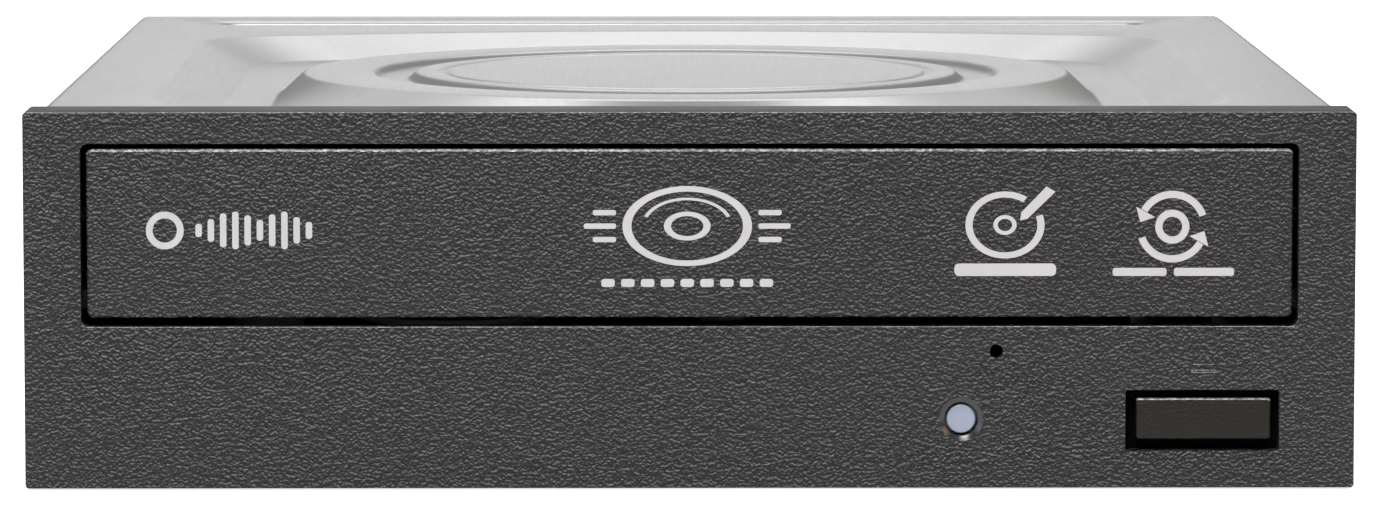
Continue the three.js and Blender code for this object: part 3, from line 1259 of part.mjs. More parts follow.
const drive = assembly();
place(drive, 'bezel', bezel(), bezelPlastic);
place(drive, 'top_cover', topCover(), coverSteel);
place(drive, 'bottom_cover', bottomCover(), coverSteel);
place(drive, 'loader_frame', loaderFrame(), framePlastic);
place(drive, 'clamp_bridge', clampBridge(), plateSteel);
place(drive, 'loading_motor', loadingMotor(), darkSteel, [LOADING_MOTOR_X, LOADING_MOTOR_Y, 0]);
place(drive, 'loading_belt', loadingBelt(), rubber);
place(drive, 'light_pipe', lightPipe(), lightClear);
place(drive, 'main_board', mainBoard(), boardGreen);
place(drive, 'front_board', frontBoard(), boardGreen);
place(drive, 'front_ribbon', frontRibbon(), ribbonWhite);
place(drive, 'data_connector', connector(DATA_WIDTH), chipBlack, [DATA_X, 0, 0]);
place(drive, 'power_connector', connector(POWER_WIDTH), chipBlack, [POWER_X, 0, 0]);
place(
  drive,
  'eject_switch',
  block(
    [-SWITCH_HALF, SWITCH_HALF],
    [SWITCH_FRONT, SWITCH_FRONT + 4.5],
    [FRONT_BOARD_TOP + GAP, DECK_LOW - GAP],
  ),
  chipBlack,
  [BUTTON_X, 0, 0],
);
place(
  drive,
  'status_lamp',
  block([-1.5, 1.5], [FRONT_BOARD_FRONT, FRONT_BOARD_FRONT + 2.5], [FRONT_BOARD_TOP + GAP, DECK_LOW - GAP]),
  lightClear,
  [LIGHT_X, 0, 0],
);

// Packages on the main board: [name, X, distance in front of its rear edge, width, length, height]
const CHIPS = [
  ['controller_chip', -18, 40, 20, 20, 1.4],
  ['memory_chip', 14, 46, 8, 14, 1],
  ['motor_driver_chip', -44, 34, 12, 12, 1.2],
];
for (const [name, x, back, width, length, height] of CHIPS) {
  const low = MAIN_BOARD_TOP + GAP;
  const body = block([-width / 2, width / 2], [-length / 2, length / 2], [low, low + height]);
  place(drive, name, body, chipBlack, [x, MAIN_BOARD_REAR - back, 0]);
}

const coverScrewHead = CASE_LOW + 0.15;
let coverScrewCount = 0;
for (const x of [-COVER_SCREW_X, COVER_SCREW_X]) {
  for (const y of COVER_SCREW_YS) {
    coverScrewCount += 1;
    const upsideDown = screw(-SCREW_HEAD_THICK, -7).rotate([180, 0, 0]);
    place(drive, `cover_screw_${coverScrewCount}`, upsideDown, screwSteel, [x, y, coverScrewHead]);
  }
}
[-BRIDGE_SCREW_X, BRIDGE_SCREW_X].forEach((x, i) => {
  place(drive, `bridge_screw_${i + 1}`, screw(BRIDGE_TOP + GAP, TRAY_TOP + 0.7, 2), screwSteel, [x, SPINDLE_Y, 0]);
});

const trayAssembly = assembly();
place(trayAssembly, 'tray', tray(), framePlastic);
place(trayAssembly, 'tray_door', trayDoor(), bezelPlastic);

const eject = assembly();
place(eject, 'eject_button', ejectButton(), buttonPlastic);

const train = assembly();
place(train, 'drive_gear', driveGear(), gearPlastic, [DRIVE_GEAR_X, DRIVE_GEAR_Y, 0]);
place(train, 'pulley_gear', pulleyGear(), gearPlastic, [PULLEY_X, PULLEY_Y, 0]);
place(train, 'motor_pulley', motorPulley(), gearPlastic, [LOADING_MOTOR_X, LOADING_MOTOR_Y, 0]);
place(train, 'cam_slider', camSlider(), framePlastic);

const traverse = assembly();
place(traverse, 'lift_frame', liftFrame(), framePlastic);
place(traverse, 'traverse_plate', traversePlate(), plateSteel);
place(traverse, 'spindle_motor', spindleMotor(), darkSteel, [0, SPINDLE_Y, 0]);
place(traverse, 'sled_motor', sledMotor(), darkSteel, [SCREW_X, 0, ROD_Z]);
place(traverse, 'guide_rod_1', guideRod(), screwSteel, [-ROD_X, 0, ROD_Z]);
place(traverse, 'guide_rod_2', guideRod(), screwSteel, [ROD_X, 0, ROD_Z]);
place(traverse, 'lead_screw', leadScrew(), screwSteel, [SCREW_X, 0, ROD_Z]);
let damperCount = 0;
for (const x of [-DAMPER_X, DAMPER_X]) {
  for (const y of damperYs()) {
    damperCount += 1;
    place(traverse, `damper_${damperCount}`, damper(), rubber, [x, y, 0]);
    place(traverse, `damper_screw_${damperCount}`, screw(DAMPER_TOP + GAP, LIFT_LOW + 1.4), screwSteel, [x, y, 0]);
  }
}
place(traverse, 'turntable', turntable(), framePlastic, [0, SPINDLE_Y, 0]);
place(traverse, 'turntable_ring', rubberRing(), rubber, [0, SPINDLE_Y, 0]);

const pickup = assembly();
place(pickup, 'pickup_body', pickupBody(), darkSteel);
place(pickup, 'feed_nut', feedNut(), gearPlastic);
place(pickup, 'actuator_yoke', actuatorYoke(), plateSteel);
place(pickup, 'yoke_magnet_1', yokeMagnet(-1), darkSteel);
place(pickup, 'yoke_magnet_2', yokeMagnet(1), darkSteel);
place(pickup, 'lens_holder', lensHolder(), framePlastic);
LENS_RADII.forEach((radius, i) => {
  place(pickup, `objective_lens_${i + 1}`, lens(radius), lensGlass, [(i ? 1 : -1) * LENS_SPREAD, PICKUP_Y, 0]);
});

const clamp = assembly();
place(clamp, 'clamper', clamper(), framePlastic, [0, SPINDLE_Y, 0]);
const yokeZ = BRIDGE_TOP + 2.5 + GAP;
place(clamp, 'clamper_yoke', barZ(0, 0, [yokeZ, yokeZ + 1], 11, 32), plateSteel, [0, SPINDLE_Y, 0]);

export default group;
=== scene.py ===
# %% [markdown]
# # A half-height optical disc drive, from bare frame to finished look
#
# The frame holds every working piece of the drive at its real size, in metres, with the bezel
# facing -Y and the underside on Z 0. This lesson dresses that frame. Each visible piece gets its
# rounded edges, its stamping or its grain, and the hidden mechanism gets honest materials.
# The first cell loads the frame, and keeps its size.

import json
import math

import bmesh
import bpy
import numpy as np
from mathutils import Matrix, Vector


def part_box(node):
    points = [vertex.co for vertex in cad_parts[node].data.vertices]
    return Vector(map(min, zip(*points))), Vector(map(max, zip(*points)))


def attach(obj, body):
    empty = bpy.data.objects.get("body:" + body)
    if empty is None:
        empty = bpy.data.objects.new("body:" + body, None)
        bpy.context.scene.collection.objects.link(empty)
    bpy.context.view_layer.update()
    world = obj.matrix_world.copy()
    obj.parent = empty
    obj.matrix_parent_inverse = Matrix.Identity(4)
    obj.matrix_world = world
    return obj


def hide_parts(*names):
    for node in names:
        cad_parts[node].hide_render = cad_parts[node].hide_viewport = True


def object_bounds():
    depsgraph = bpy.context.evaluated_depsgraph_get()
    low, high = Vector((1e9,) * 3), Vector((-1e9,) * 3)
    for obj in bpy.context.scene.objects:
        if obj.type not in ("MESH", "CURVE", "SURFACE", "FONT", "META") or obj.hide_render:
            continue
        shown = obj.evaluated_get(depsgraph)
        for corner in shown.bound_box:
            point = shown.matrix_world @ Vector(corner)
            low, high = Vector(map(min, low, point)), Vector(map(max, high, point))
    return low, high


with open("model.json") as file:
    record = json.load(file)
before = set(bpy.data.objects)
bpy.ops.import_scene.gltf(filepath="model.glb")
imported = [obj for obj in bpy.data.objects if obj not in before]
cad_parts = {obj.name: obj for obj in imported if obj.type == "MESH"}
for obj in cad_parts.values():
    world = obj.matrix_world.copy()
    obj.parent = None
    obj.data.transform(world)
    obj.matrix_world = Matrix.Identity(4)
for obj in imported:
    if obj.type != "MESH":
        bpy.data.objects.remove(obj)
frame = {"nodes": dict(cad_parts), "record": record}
MM = 0.001
cad_low, cad_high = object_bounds()
nodes = frame["nodes"]
bezel_low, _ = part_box("bezel")
print("drive, mm:", [round(v / MM, 2) for v in cad_high - cad_low])

# %% [markdown]
# ## The camera
#
# The drive is seen from the front and a little above, from over three quarters of a metre, with a
# long lens. The camera leans down by under six degrees and carries no shift, so that it can swing
# round to any other side. Its place is given from the bezel's face and the floor.

# %% Set the camera
CAMERA_SIDE = -5.6 * MM  # a little to the left of the middle
CAMERA_AHEAD = 775.6 * MM  # in front of the bezel
CAMERA_HEIGHT = 102.7 * MM
CAMERA_LEAN = math.radians(5.624)
CAMERA_TURN = math.radians(0.41)
SENSOR = 36.0
LENS = 183.2
CLIP_START = 0.05

camera_data = bpy.data.cameras.new("camera")
camera_data.sensor_width = SENSOR
camera_data.lens = LENS
camera_data.clip_start = CLIP_START
camera = bpy.data.objects.new("camera", camera_data)
camera.location = (CAMERA_SIDE, bezel_low.y - CAMERA_AHEAD, CAMERA_HEIGHT)
camera.rotation_euler = (math.pi / 2 - CAMERA_LEAN, 0, -CAMERA_TURN)
bpy.context.scene.collection.objects.link(camera)
bpy.context.scene.camera = camera
print("camera at", [round(v, 3) for v in camera.location])

# %% [markdown]
# ## Floor and light
#
# A pale floor and soft light on all sides suit a product picture. Sheet steel shows its bends
# only where one side of a bend sees more light than the other, so the front is brightest, and
# the left side is cool and a little brighter than the right side, which is warm.

# %% Lay the floor
FLOOR_SIZE = 8.0
FLOOR_GAP = 0.0002  # under the drive, so that the two never share a surface
FLOOR_SHADE = 0.86
FLOOR_ROUGHNESS = 0.9
FLOOR_GLOW = 0.75
WHITE = (1, 1, 1, 1)


finishes = {}


def new_material(name):
    """A node material with its output and one principled shader, kept by its name."""
    material = finishes[name] = bpy.data.materials.new(name)
    material.use_nodes = True
    shader = material.node_tree.nodes["Principled BSDF"]
    return material, material.node_tree, shader


floor_mesh = bpy.data.meshes.new("floor")
half = FLOOR_SIZE / 2
floor_corners = [(-half, -half, 0), (half, -half, 0), (half, half, 0), (-half, half, 0)]
floor_mesh.from_pydata(floor_corners, [], [(0, 1, 2, 3)])
floor = bpy.data.objects.new("floor", floor_mesh)
floor.location.z = cad_low.z - FLOOR_GAP
bpy.context.scene.collection.objects.link(floor)
# The floor shows from above only, so that the drive's underside can be looked at through it.
floor_paint, _, floor_shader = new_material("floor_paint")
floor_shader.inputs["Base Color"].default_value = (FLOOR_SHADE, FLOOR_SHADE, FLOOR_SHADE, 1)
floor_shader.inputs["Roughness"].default_value = FLOOR_ROUGHNESS
floor_shader.inputs["Emission Color"].default_value = WHITE
floor_shader.inputs["Emission Strength"].default_value = FLOOR_GLOW
floor_tree = floor_paint.node_tree
side = floor_tree.nodes.new("ShaderNodeNewGeometry")
see_through = floor_tree.nodes.new("ShaderNodeBsdfTransparent")
one_sided = floor_tree.nodes.new("ShaderNodeMixShader")
floor_tree.links.new(side.outputs["Backfacing"], one_sided.inputs["Fac"])
floor_tree.links.new(floor_shader.outputs["BSDF"], one_sided.inputs[1])
floor_tree.links.new(see_through.outputs["BSDF"], one_sided.inputs[2])
floor_tree.links.new(one_sided.outputs["Shader"], floor_tree.nodes["Material Output"].inputs["Surface"])
floor_mesh.materials.append(floor_paint)
print("floor", FLOOR_SIZE, "m across")

# %% Hang the lights
WORLD_STRENGTH = 0.25
LAMPS = (  # name, place and size in metres, power in watts, colour
    ("key_light", (-0.15, -0.95, 1.05), 0.5, 15, (1, 1, 1)),
    ("rear_top_light", (0, 0.9, 1.05), 0.7, 4.5, (1, 1, 1)),
    ("rear_low_light", (0, 1.8, 0.25), 0.5, 1.0, (1, 1, 1)),
    ("left_light", (-1.4, -0.9, 0.5), 0.7, 5, (0.66, 0.78, 1)),
    ("right_light", (1.3, -0.7, 0.7), 0.6, 4.5, (1, 0.62, 0.28)),
)
LAMP_AIM = (0, 0, 0.03)


def area_light(name, place, size, power, colour):
    """A square lamp that faces the drive. The camera doesn't see the lamp itself."""
    data = bpy.data.lights.new(name, "AREA")
    data.size = size
    data.energy = power
    data.color = colour
    lamp = bpy.data.objects.new(name, data)
    lamp.location = place
    lamp.rotation_euler = (Vector(LAMP_AIM) - Vector(place)).to_track_quat("-Z", "Y").to_euler()
    lamp.visible_camera = False
    bpy.context.scene.collection.objects.link(lamp)


for lamp in LAMPS:
    area_light(*lamp)
world = bpy.data.worlds.new("studio")
world.use_nodes = True
world.node_tree.nodes["Background"].inputs["Color"].default_value = WHITE
world.node_tree.nodes["Background"].inputs["Strength"].default_value = WORLD_STRENGTH
bpy.context.scene.world = world
bpy.context.scene.view_settings.view_transform = "Standard"
print(len(LAMPS), "lamps and a pale world")

# %% [markdown]
# ## Tools for making solids
#
# Most pieces here are plates and boxes with holes, whose edges are then rounded. The way is the
# same as at a workbench: cut the blank, cut the holes, break the edges. A blank is an outline
# pushed along one axis. Cutting is a boolean, and the edges are broken by the bevel modifier,
# which only touches edges that turn by more than a set angle.

# %% Outlines
ARC_STEPS = 6


def arc(cx, cy, radius, start, end, steps):
    """Points on an arc, ends included, angles in degrees."""
    angles = [math.radians(start + (end - start) * i / steps) for i in range(steps + 1)]
    return [(cx + radius * math.cos(a), cy + radius * math.sin(a)) for a in angles]


def rounded_box(x0, x1, y0, y1, radius, steps=ARC_STEPS):
    """A rectangle with round corners, anticlockwise."""
    return (
        arc(x1 - radius, y0 + radius, radius, -90, 0, steps)
        + arc(x1 - radius, y1 - radius, radius, 0, 90, steps)
        + arc(x0 + radius, y1 - radius, radius, 90, 180, steps)
        + arc(x0 + radius, y0 + radius, radius, 180, 270, steps)
    )


def circle(cx, cy, radius, steps=32):
    """A closed round outline."""
    return arc(cx, cy, radius, 0, 360 - 360 / steps, steps - 1)


print("an outline of", len(rounded_box(0, 1, 0, 1, 0.1)), "points")

# %% Blanks, cuts and edges
AXES = {
    "x": lambda a, b, d: (d, a, b),
    "y": lambda a, b, d: (a, d, b),
    "z": lambda a, b, d: (a, b, d),
}


def object_from(name, bm):
    """A linked object from a bmesh, its faces pointing out."""
    bmesh.ops.recalc_face_normals(bm, faces=bm.faces)
    mesh = bpy.data.meshes.new(name)
    bm.to_mesh(mesh)
    bm.free()
    piece = bpy.data.objects.new(name, mesh)
    bpy.context.scene.collection.objects.link(piece)
    return piece


def blank(name, outline, low, high, axis="z", far=None):
    """A closed prism: the outline, in millimetres, pushed from low to high along an axis.

    It may end in another outline of as many points, far.
    """
    bm = bmesh.new()
    rings = []
    for depth, shape in ((low, outline), (high, far or outline)):
        rings.append([bm.verts.new([c * MM for c in AXES[axis](a, b, depth)]) for a, b in shape])
    bm.faces.new(rings[0])
    bm.faces.new(rings[1])
    count = len(outline)
    for i in range(count):
        j = (i + 1) % count
        bm.faces.new((rings[0][i], rings[0][j], rings[1][j], rings[1][i]))
    return object_from(name, bm)


def box_blank(name, x, y, z):
    """A plain block between pairs of millimetre values, as stock to cut from."""
    return blank(name, [(x[0], y[0]), (x[1], y[0]), (x[1], y[1]), (x[0], y[1])], z[0], z[1])


def settle(piece):
    """Replaces a piece's mesh by what its modifiers make of it."""
    graph = bpy.context.evaluated_depsgraph_get()
    made = bpy.data.meshes.new_from_object(piece.evaluated_get(graph))
    piece.modifiers.clear()
    old = piece.data
    made.name = old.name + "_made"
    piece.data = made
    bpy.data.meshes.remove(old)
    return piece


def combine(piece, others, operation):
    """Cuts with, or joins, other pieces, and removes them."""
    for other in others:
        step = piece.modifiers.new(operation.lower(), "BOOLEAN")
        step.operation = operation
        step.object = other
        step.solver = "EXACT"
        settle(piece)
        bpy.data.objects.remove(other)
    return piece


def carve(piece, *cutters):
    return combine(piece, cutters, "DIFFERENCE")


def weld(piece, *others):
    return combine(piece, others, "UNION")


def tidy_mesh(piece, distance=0.002):
    """Merges corners that lie together and drops what that leaves without area."""
    bm = bmesh.new()
    bm.from_mesh(piece.data)
    bmesh.ops.remove_doubles(bm, verts=bm.verts, dist=distance * MM)
    bmesh.ops.dissolve_degenerate(bm, edges=bm.edges, dist=distance * MM)
    bm.to_mesh(piece.data)
    bm.free()
    return piece


def break_edges(piece, width, segments=3, angle=32):
    """Rounds the sharp edges by a width in millimetres."""
    tidy_mesh(piece)
    step = piece.modifiers.new("edges", "BEVEL")
    step.width = width * MM
    step.segments = segments
    step.limit_method = "ANGLE"
    step.angle_limit = math.radians(angle)
    step.miter_outer = "MITER_ARC"
    settle(piece)
    return smooth(piece)


def smooth(piece, angle=35):
    """Smooth shading that stays crisp across sharp edges."""
    piece.data.shade_smooth()
    piece.data.set_sharp_from_angle(angle=math.radians(angle))
    return piece


def turned(name, profile, centre, sides=48, axis="z"):
    """A closed solid turned about an axis.

    Its profile is (radius, height) points that start and end on the axis.
    """
    bm = bmesh.new()
    rings = []
    for radius, height in profile:
        around = circle(*centre, radius, sides) if radius else [centre]
        rings.append([bm.verts.new([c * MM for c in AXES[axis](a, b, height)]) for a, b in around])
    for lower, upper in zip(rings, rings[1:]):
        for i in range(sides):
            j = (i + 1) % sides
            low = [lower[k % len(lower)] for k in (i, j)]
            high = [upper[k % len(upper)] for k in (j, i)]
            bm.faces.new(list(dict.fromkeys(low + high)))
    return object_from(name, bm)


print("tools ready")

# %% [markdown]
# ## Materials
#
# Everything is made of a few finishes. The moulded black plastic has a coarse grain: tiny bumps,
# less than half a millimetre across. There are too many to model, so a noise stands for them. It
# is read twice, the second time a little higher up. Where the two readings differ, a bump's side
# faces up or down, and a ramp paints the upper sides paler and the lower sides darker: a painted
# highlight and painted shade, as if lit from above. A bump node adds some relief.
#
# The steel is zinc-coated sheet with a soft gleam and faint rolling lines. All of it is worked
# out from where a point lies in the drive, so nothing has to be unwrapped, and both finishes have
# the same scale everywhere.

# %% Helpers for materials
def place_nodes(tree, stretch=(1, 1, 1), lift_mm=0.0):
    """Object coordinates, stretched along each axis and taken from a little higher up."""
    where = tree.nodes.new("ShaderNodeTexCoord")
    mapping = tree.nodes.new("ShaderNodeMapping")
    mapping.inputs["Scale"].default_value = stretch
    mapping.inputs["Location"].default_value = (0, 0, lift_mm * MM)
    tree.links.new(where.outputs["Object"], mapping.inputs["Vector"])
    return mapping.outputs["Vector"]


def noise(tree, vector, size_mm, detail=2.0, roughness=0.5):
    """Noise whose lumps are about that many millimetres across."""
    texture = tree.nodes.new("ShaderNodeTexNoise")
    texture.inputs["Scale"].default_value = 1 / (size_mm * MM)
    texture.inputs["Detail"].default_value = detail
    texture.inputs["Roughness"].default_value = roughness
    tree.links.new(vector, texture.inputs["Vector"])
    return texture.outputs["Fac"]


def ramp(tree, value, stops):
    """Turns a value into colours; stops are (place, colour) pairs."""
    node = tree.nodes.new("ShaderNodeValToRGB")
    elements = node.color_ramp.elements
    while len(elements) < len(stops):
        elements.new(0.5)
    for element, (place, colour) in zip(elements, stops):
        element.position = place
        element.color = (*colour, 1)
    tree.links.new(value, node.inputs["Fac"])
    return node.outputs["Color"]


def bump(tree, shader, height, distance_mm, strength=1.0):
    """Raises the surface by a height."""
    node = tree.nodes.new("ShaderNodeBump")
    node.inputs["Distance"].default_value = distance_mm * MM
    node.inputs["Strength"].default_value = strength
    tree.links.new(height, node.inputs["Height"])
    tree.links.new(node.outputs["Normal"], shader.inputs["Normal"])


def varied(low, high):
    """Two grey stops for a roughness ramp."""
    return [(0.3, (low,) * 3), (0.7, (high,) * 3)]


print("material helpers ready")

# %% Plastics
GRAIN_STRETCH = (0.75, 1, 1)  # the grain runs a little more across than up
GRAIN_NOISE = (1.5, 0.6)  # detail and roughness
GRAIN_LIFT = 0.4  # height of the second reading, as a share of the grain's size
CONTRAST = 1.7
LEVEL = 0.5  # where flat places sit on the ramp
SHOULDER = 0.25  # how far the third stop has gone towards the palest
GRAIN_CLOUD_MM = 9.0
PLASTIC_CLOUD_MM = 4.0


def grained_plastic(name, dark, middle_tone, highlight_tone, grain_mm, bump_mm, rough=(0.3, 0.42), gloss=0.3):
    """Moulded plastic with a grain eroded by sparks, with painted shade on the bumps' lower sides and a
    painted highlight on their upper sides.
    """
    material, tree, shader = new_material(name)
    where = place_nodes(tree)
    grain = noise(tree, place_nodes(tree, GRAIN_STRETCH), grain_mm, *GRAIN_NOISE)
    lifted = place_nodes(tree, GRAIN_STRETCH, grain_mm * GRAIN_LIFT)
    above = noise(tree, lifted, grain_mm, *GRAIN_NOISE)
    slope = tree.nodes.new("ShaderNodeMath")
    slope.operation = "SUBTRACT"
    tree.links.new(grain, slope.inputs[0])
    tree.links.new(above, slope.inputs[1])
    steep = tree.nodes.new("ShaderNodeMath")
    steep.operation = "MULTIPLY_ADD"
    tree.links.new(slope.outputs[0], steep.inputs[0])
    steep.inputs[1].default_value = CONTRAST
    steep.inputs[2].default_value = LEVEL
    part = tuple((1 - SHOULDER) * m + SHOULDER * c for m, c in zip(middle_tone, highlight_tone))
    # Painted shade where a bump's side faces down and a painted highlight where it faces up, as from light
    # above.
    stops = [(0.34, dark), (0.50, middle_tone), (0.62, part), (0.80, highlight_tone)]
    tree.links.new(ramp(tree, steep.outputs[0], stops), shader.inputs["Base Color"])
    cloud = noise(tree, where, GRAIN_CLOUD_MM)
    tree.links.new(ramp(tree, cloud, varied(*rough)), shader.inputs["Roughness"])
    bump(tree, shader, grain, bump_mm)
    shader.inputs["Specular IOR Level"].default_value = gloss
    return material


bezel_plastic = grained_plastic(
    "bezel_plastic",
    dark=(0.001, 0.001, 0.001),
    middle_tone=(0.006, 0.0058, 0.0062),
    highlight_tone=(0.11, 0.106, 0.111),
    grain_mm=0.3,
    bump_mm=0.2,
    rough=(0.34, 0.44),
    gloss=0.31,
)
button_plastic = grained_plastic(
    "button_plastic",
    dark=(0.006, 0.005, 0.0036),
    middle_tone=(0.010, 0.0084, 0.006),
    highlight_tone=(0.02, 0.017, 0.012),
    grain_mm=0.25,
    bump_mm=0.1,
    rough=(0.4, 0.5),
    gloss=0.22,
)
frame_plastic = grained_plastic(
    "frame_plastic",
    dark=(0.014, 0.014, 0.015),
    middle_tone=(0.024, 0.024, 0.025),
    highlight_tone=(0.07, 0.07, 0.074),
    grain_mm=0.34,
    bump_mm=0.08,
    rough=(0.3, 0.38),
    gloss=0.5,
)
# The rim's top: a finer grain, with a paler tone that is painted light from above.
ledge_plastic = grained_plastic(
    "ledge_plastic",
    dark=(0.026, 0.026, 0.026),
    middle_tone=(0.038, 0.038, 0.038),
    highlight_tone=(0.055, 0.055, 0.055),
    grain_mm=0.3,
    bump_mm=0.03,
    rough=(0.5, 0.6),
)
# A much paler plastic, used as a painted highlight on broken edges that face up and on the eject mark's
# sloping sides.
edge_highlight_plastic = grained_plastic(
    "edge_highlight_plastic",
    dark=(0.08, 0.08, 0.085),
    middle_tone=(0.2, 0.2, 0.21),
    highlight_tone=(0.5, 0.5, 0.53),
    grain_mm=0.34,
    bump_mm=0.1,
    rough=(0.3, 0.4),
    gloss=0.6,
)


def smooth_plastic(name, colour, roughness, spread=0.12):
    """Smooth moulded plastic, with a faint cloudiness."""
    material, tree, shader = new_material(name)
    where = place_nodes(tree)
    cloud = noise(tree, where, PLASTIC_CLOUD_MM)
    paler = tuple(min(1, c * (1 + spread)) for c in colour)
    darker = tuple(c * (1 - spread) for c in colour)
    tree.links.new(ramp(tree, cloud, [(0.35, darker), (0.65, paler)]), shader.inputs["Base Color"])
    gleam = ramp(tree, cloud, varied(roughness * 0.85, roughness * 1.15))
    tree.links.new(gleam, shader.inputs["Roughness"])
    bump(tree, shader, noise(tree, where, 0.15), 0.01, 0.3)
    return material


dish_plastic = smooth_plastic("dish_plastic", (0.02, 0.02, 0.021), 0.22)
# Near-black plastic used as painted shadow on what lies behind the button's face.
shade_plastic = smooth_plastic("shade_plastic", (0.002, 0.002, 0.002), 0.8)
shade_shader = shade_plastic.node_tree.nodes["Principled BSDF"]
shade_shader.inputs["Specular IOR Level"].default_value = 0.05
smooth_plastic("gear_plastic", (0.7, 0.67, 0.58), 0.35)
chip_plastic = smooth_plastic("chip_plastic", (0.013, 0.013, 0.015), 0.5)
smooth_plastic("ribbon_plastic", (0.75, 0.75, 0.71), 0.4)
smooth_plastic("rubber", (0.016, 0.016, 0.016), 0.85)
light_clear = smooth_plastic("light_clear", (0.24, 0.27, 0.35), 0.22, spread=0.04)
mark_ink = smooth_plastic("mark_ink", (0.42, 0.41, 0.43), 0.42, spread=0.03)
print("plastics made")


# %% Metals
def sheet_steel(name, colour, metallic, rough, streak=(1, 0.02, 1), streak_mm=0.35):
    """Rolled steel sheet: faint lines along one axis and a slightly cloudy coating."""
    material, tree, shader = new_material(name)
    where = place_nodes(tree)
    lines = noise(tree, place_nodes(tree, streak), streak_mm, 2.0)
    cloud = noise(tree, where, 14.0, 3.0)
    darker = tuple(c * 0.95 for c in colour)
    tree.links.new(ramp(tree, cloud, [(0.3, darker), (0.7, colour)]), shader.inputs["Base Color"])
    tree.links.new(ramp(tree, lines, varied(*rough)), shader.inputs["Roughness"])
    bump(tree, shader, lines, 0.004, 0.5)
    shader.inputs["Metallic"].default_value = metallic
    return material


cover_steel = sheet_steel("cover_steel", (0.42, 0.43, 0.425), 0.7, (0.36, 0.42))
sheet_steel("plate_steel", (0.45, 0.46, 0.47), 0.9, (0.3, 0.42))
sheet_steel("dark_metal", (0.14, 0.145, 0.15), 0.85, (0.35, 0.5), streak=(1, 1, 1), streak_mm=0.6)
screw_steel = sheet_steel("screw_steel", (0.5, 0.5, 0.51), 1.0, (0.22, 0.34), streak=(1, 1, 1))
gold = sheet_steel("gold", (0.83, 0.6, 0.24), 1.0, (0.2, 0.3), streak=(1, 1, 1))


TRACK_MM = 6


def solder_resist():
    """Green board lacquer over copper tracks, which show as raised, paler lines."""
    _, tree, shader = new_material("circuit_board")
    where = place_nodes(tree)
    tracks = tree.nodes.new("ShaderNodeTexBrick")
    tracks.inputs["Scale"].default_value = 1 / (TRACK_MM * MM)
    tracks.inputs["Mortar Size"].default_value = 0.03
    tracks.inputs["Color1"].default_value = (0.012, 0.1, 0.04, 1)
    tracks.inputs["Color2"].default_value = (0.016, 0.12, 0.05, 1)
    tracks.inputs["Mortar"].default_value = (0.03, 0.2, 0.08, 1)
    tree.links.new(where, tracks.inputs["Vector"])
    tree.links.new(tracks.outputs["Color"], shader.inputs["Base Color"])
    tree.links.new(ramp(tree, noise(tree, where, 3.0), varied(0.25, 0.4)), shader.inputs["Roughness"])
    bump(tree, shader, tracks.outputs["Fac"], 0.02, 0.5)


def lens_glass():
    """Coated glass for the lenses: clear, with a blue cast."""
    _, tree, shader = new_material("lens_glass")
    blues = [(0.3, (0.35, 0.5, 0.8)), (0.7, (0.5, 0.7, 0.95))]
    cloud = noise(tree, place_nodes(tree), 2.0)
    tree.links.new(ramp(tree, cloud, blues), shader.inputs["Base Color"])
    shader.inputs["Roughness"].default_value = 0.06
    shader.inputs["Transmission Weight"].default_value = 0.7


solder_resist()
lens_glass()
print("metals, board and glass made")


# %% Finish a piece
def finished(piece, body, slot, material, *replaced):
    """Gives a piece its material and its body, and hides what it stands for. The slot is not used."""
    if len(piece.data.materials) == 0:
        piece.data.materials.append(material)
    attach(piece, body)
    if replaced:
        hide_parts(*replaced)
    print(piece.name, "with", len(piece.data.polygons), "faces")
    return piece


def mm_box(node):
    """A node's box in millimetres, as three (low, high) pairs."""
    low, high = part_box(node)
    return [(low[i] / MM, high[i] / MM) for i in range(3)]


print("bezel, mm:", [[round(v, 2) for v in pair] for pair in mm_box("bezel")])


# %% [markdown]
# ## The top cover
#
# The cover is one pressed sheet: a wide recess with sloping walls, a round platform inside it that
# stands over the disc clamp, and a ring groove in the platform. Every one of these outlines goes
# once round the spindle. So the sheet is made like a web: spokes run out from the spindle, and on
# each spoke we note the distance and height of each bend. Between the bends the sheet is straight,
# and each bend is softened by a short curve. The sides and the rear are the same spokes, folded
# down.

# %% The outlines that the cover's bends follow
SHEET = 0.8
(case_x0, case_x1), (case_y0, case_y1), (case_z0, case_top) = mm_box("top_cover")
_, (face_y, _), _ = mm_box("bezel")
turntable_box = mm_box("turntable")
spindle_y = sum(turntable_box[1]) / 2
RECESS_DEPTH = 2.8
RECESS_SLOPE = 7.0
RECESS_SIDE = 11.5
RECESS_FRONT = 12.0  # behind the bezel's face
RECESS_REAR = 131.0
RECESS_BOW = 10.0
BOW_START = 2
RECESS_CORNER = 12.0
CORNER_STEPS = 12
BOW_STEPS = 40
PLATFORM_RADIUS = 46.0
PLATFORM_SLOPE = 3.0
SPOKES = 480


def quadratic(a, b, c, steps):
    """Points of a simple curve from a towards b, ending at c, its first point left out."""
    places = [i / steps for i in range(1, steps + 1)]
    return [
        tuple((1 - t) ** 2 * a[k] + 2 * t * (1 - t) * b[k] + t * t * c[k] for k in range(2)) for t in places
    ]


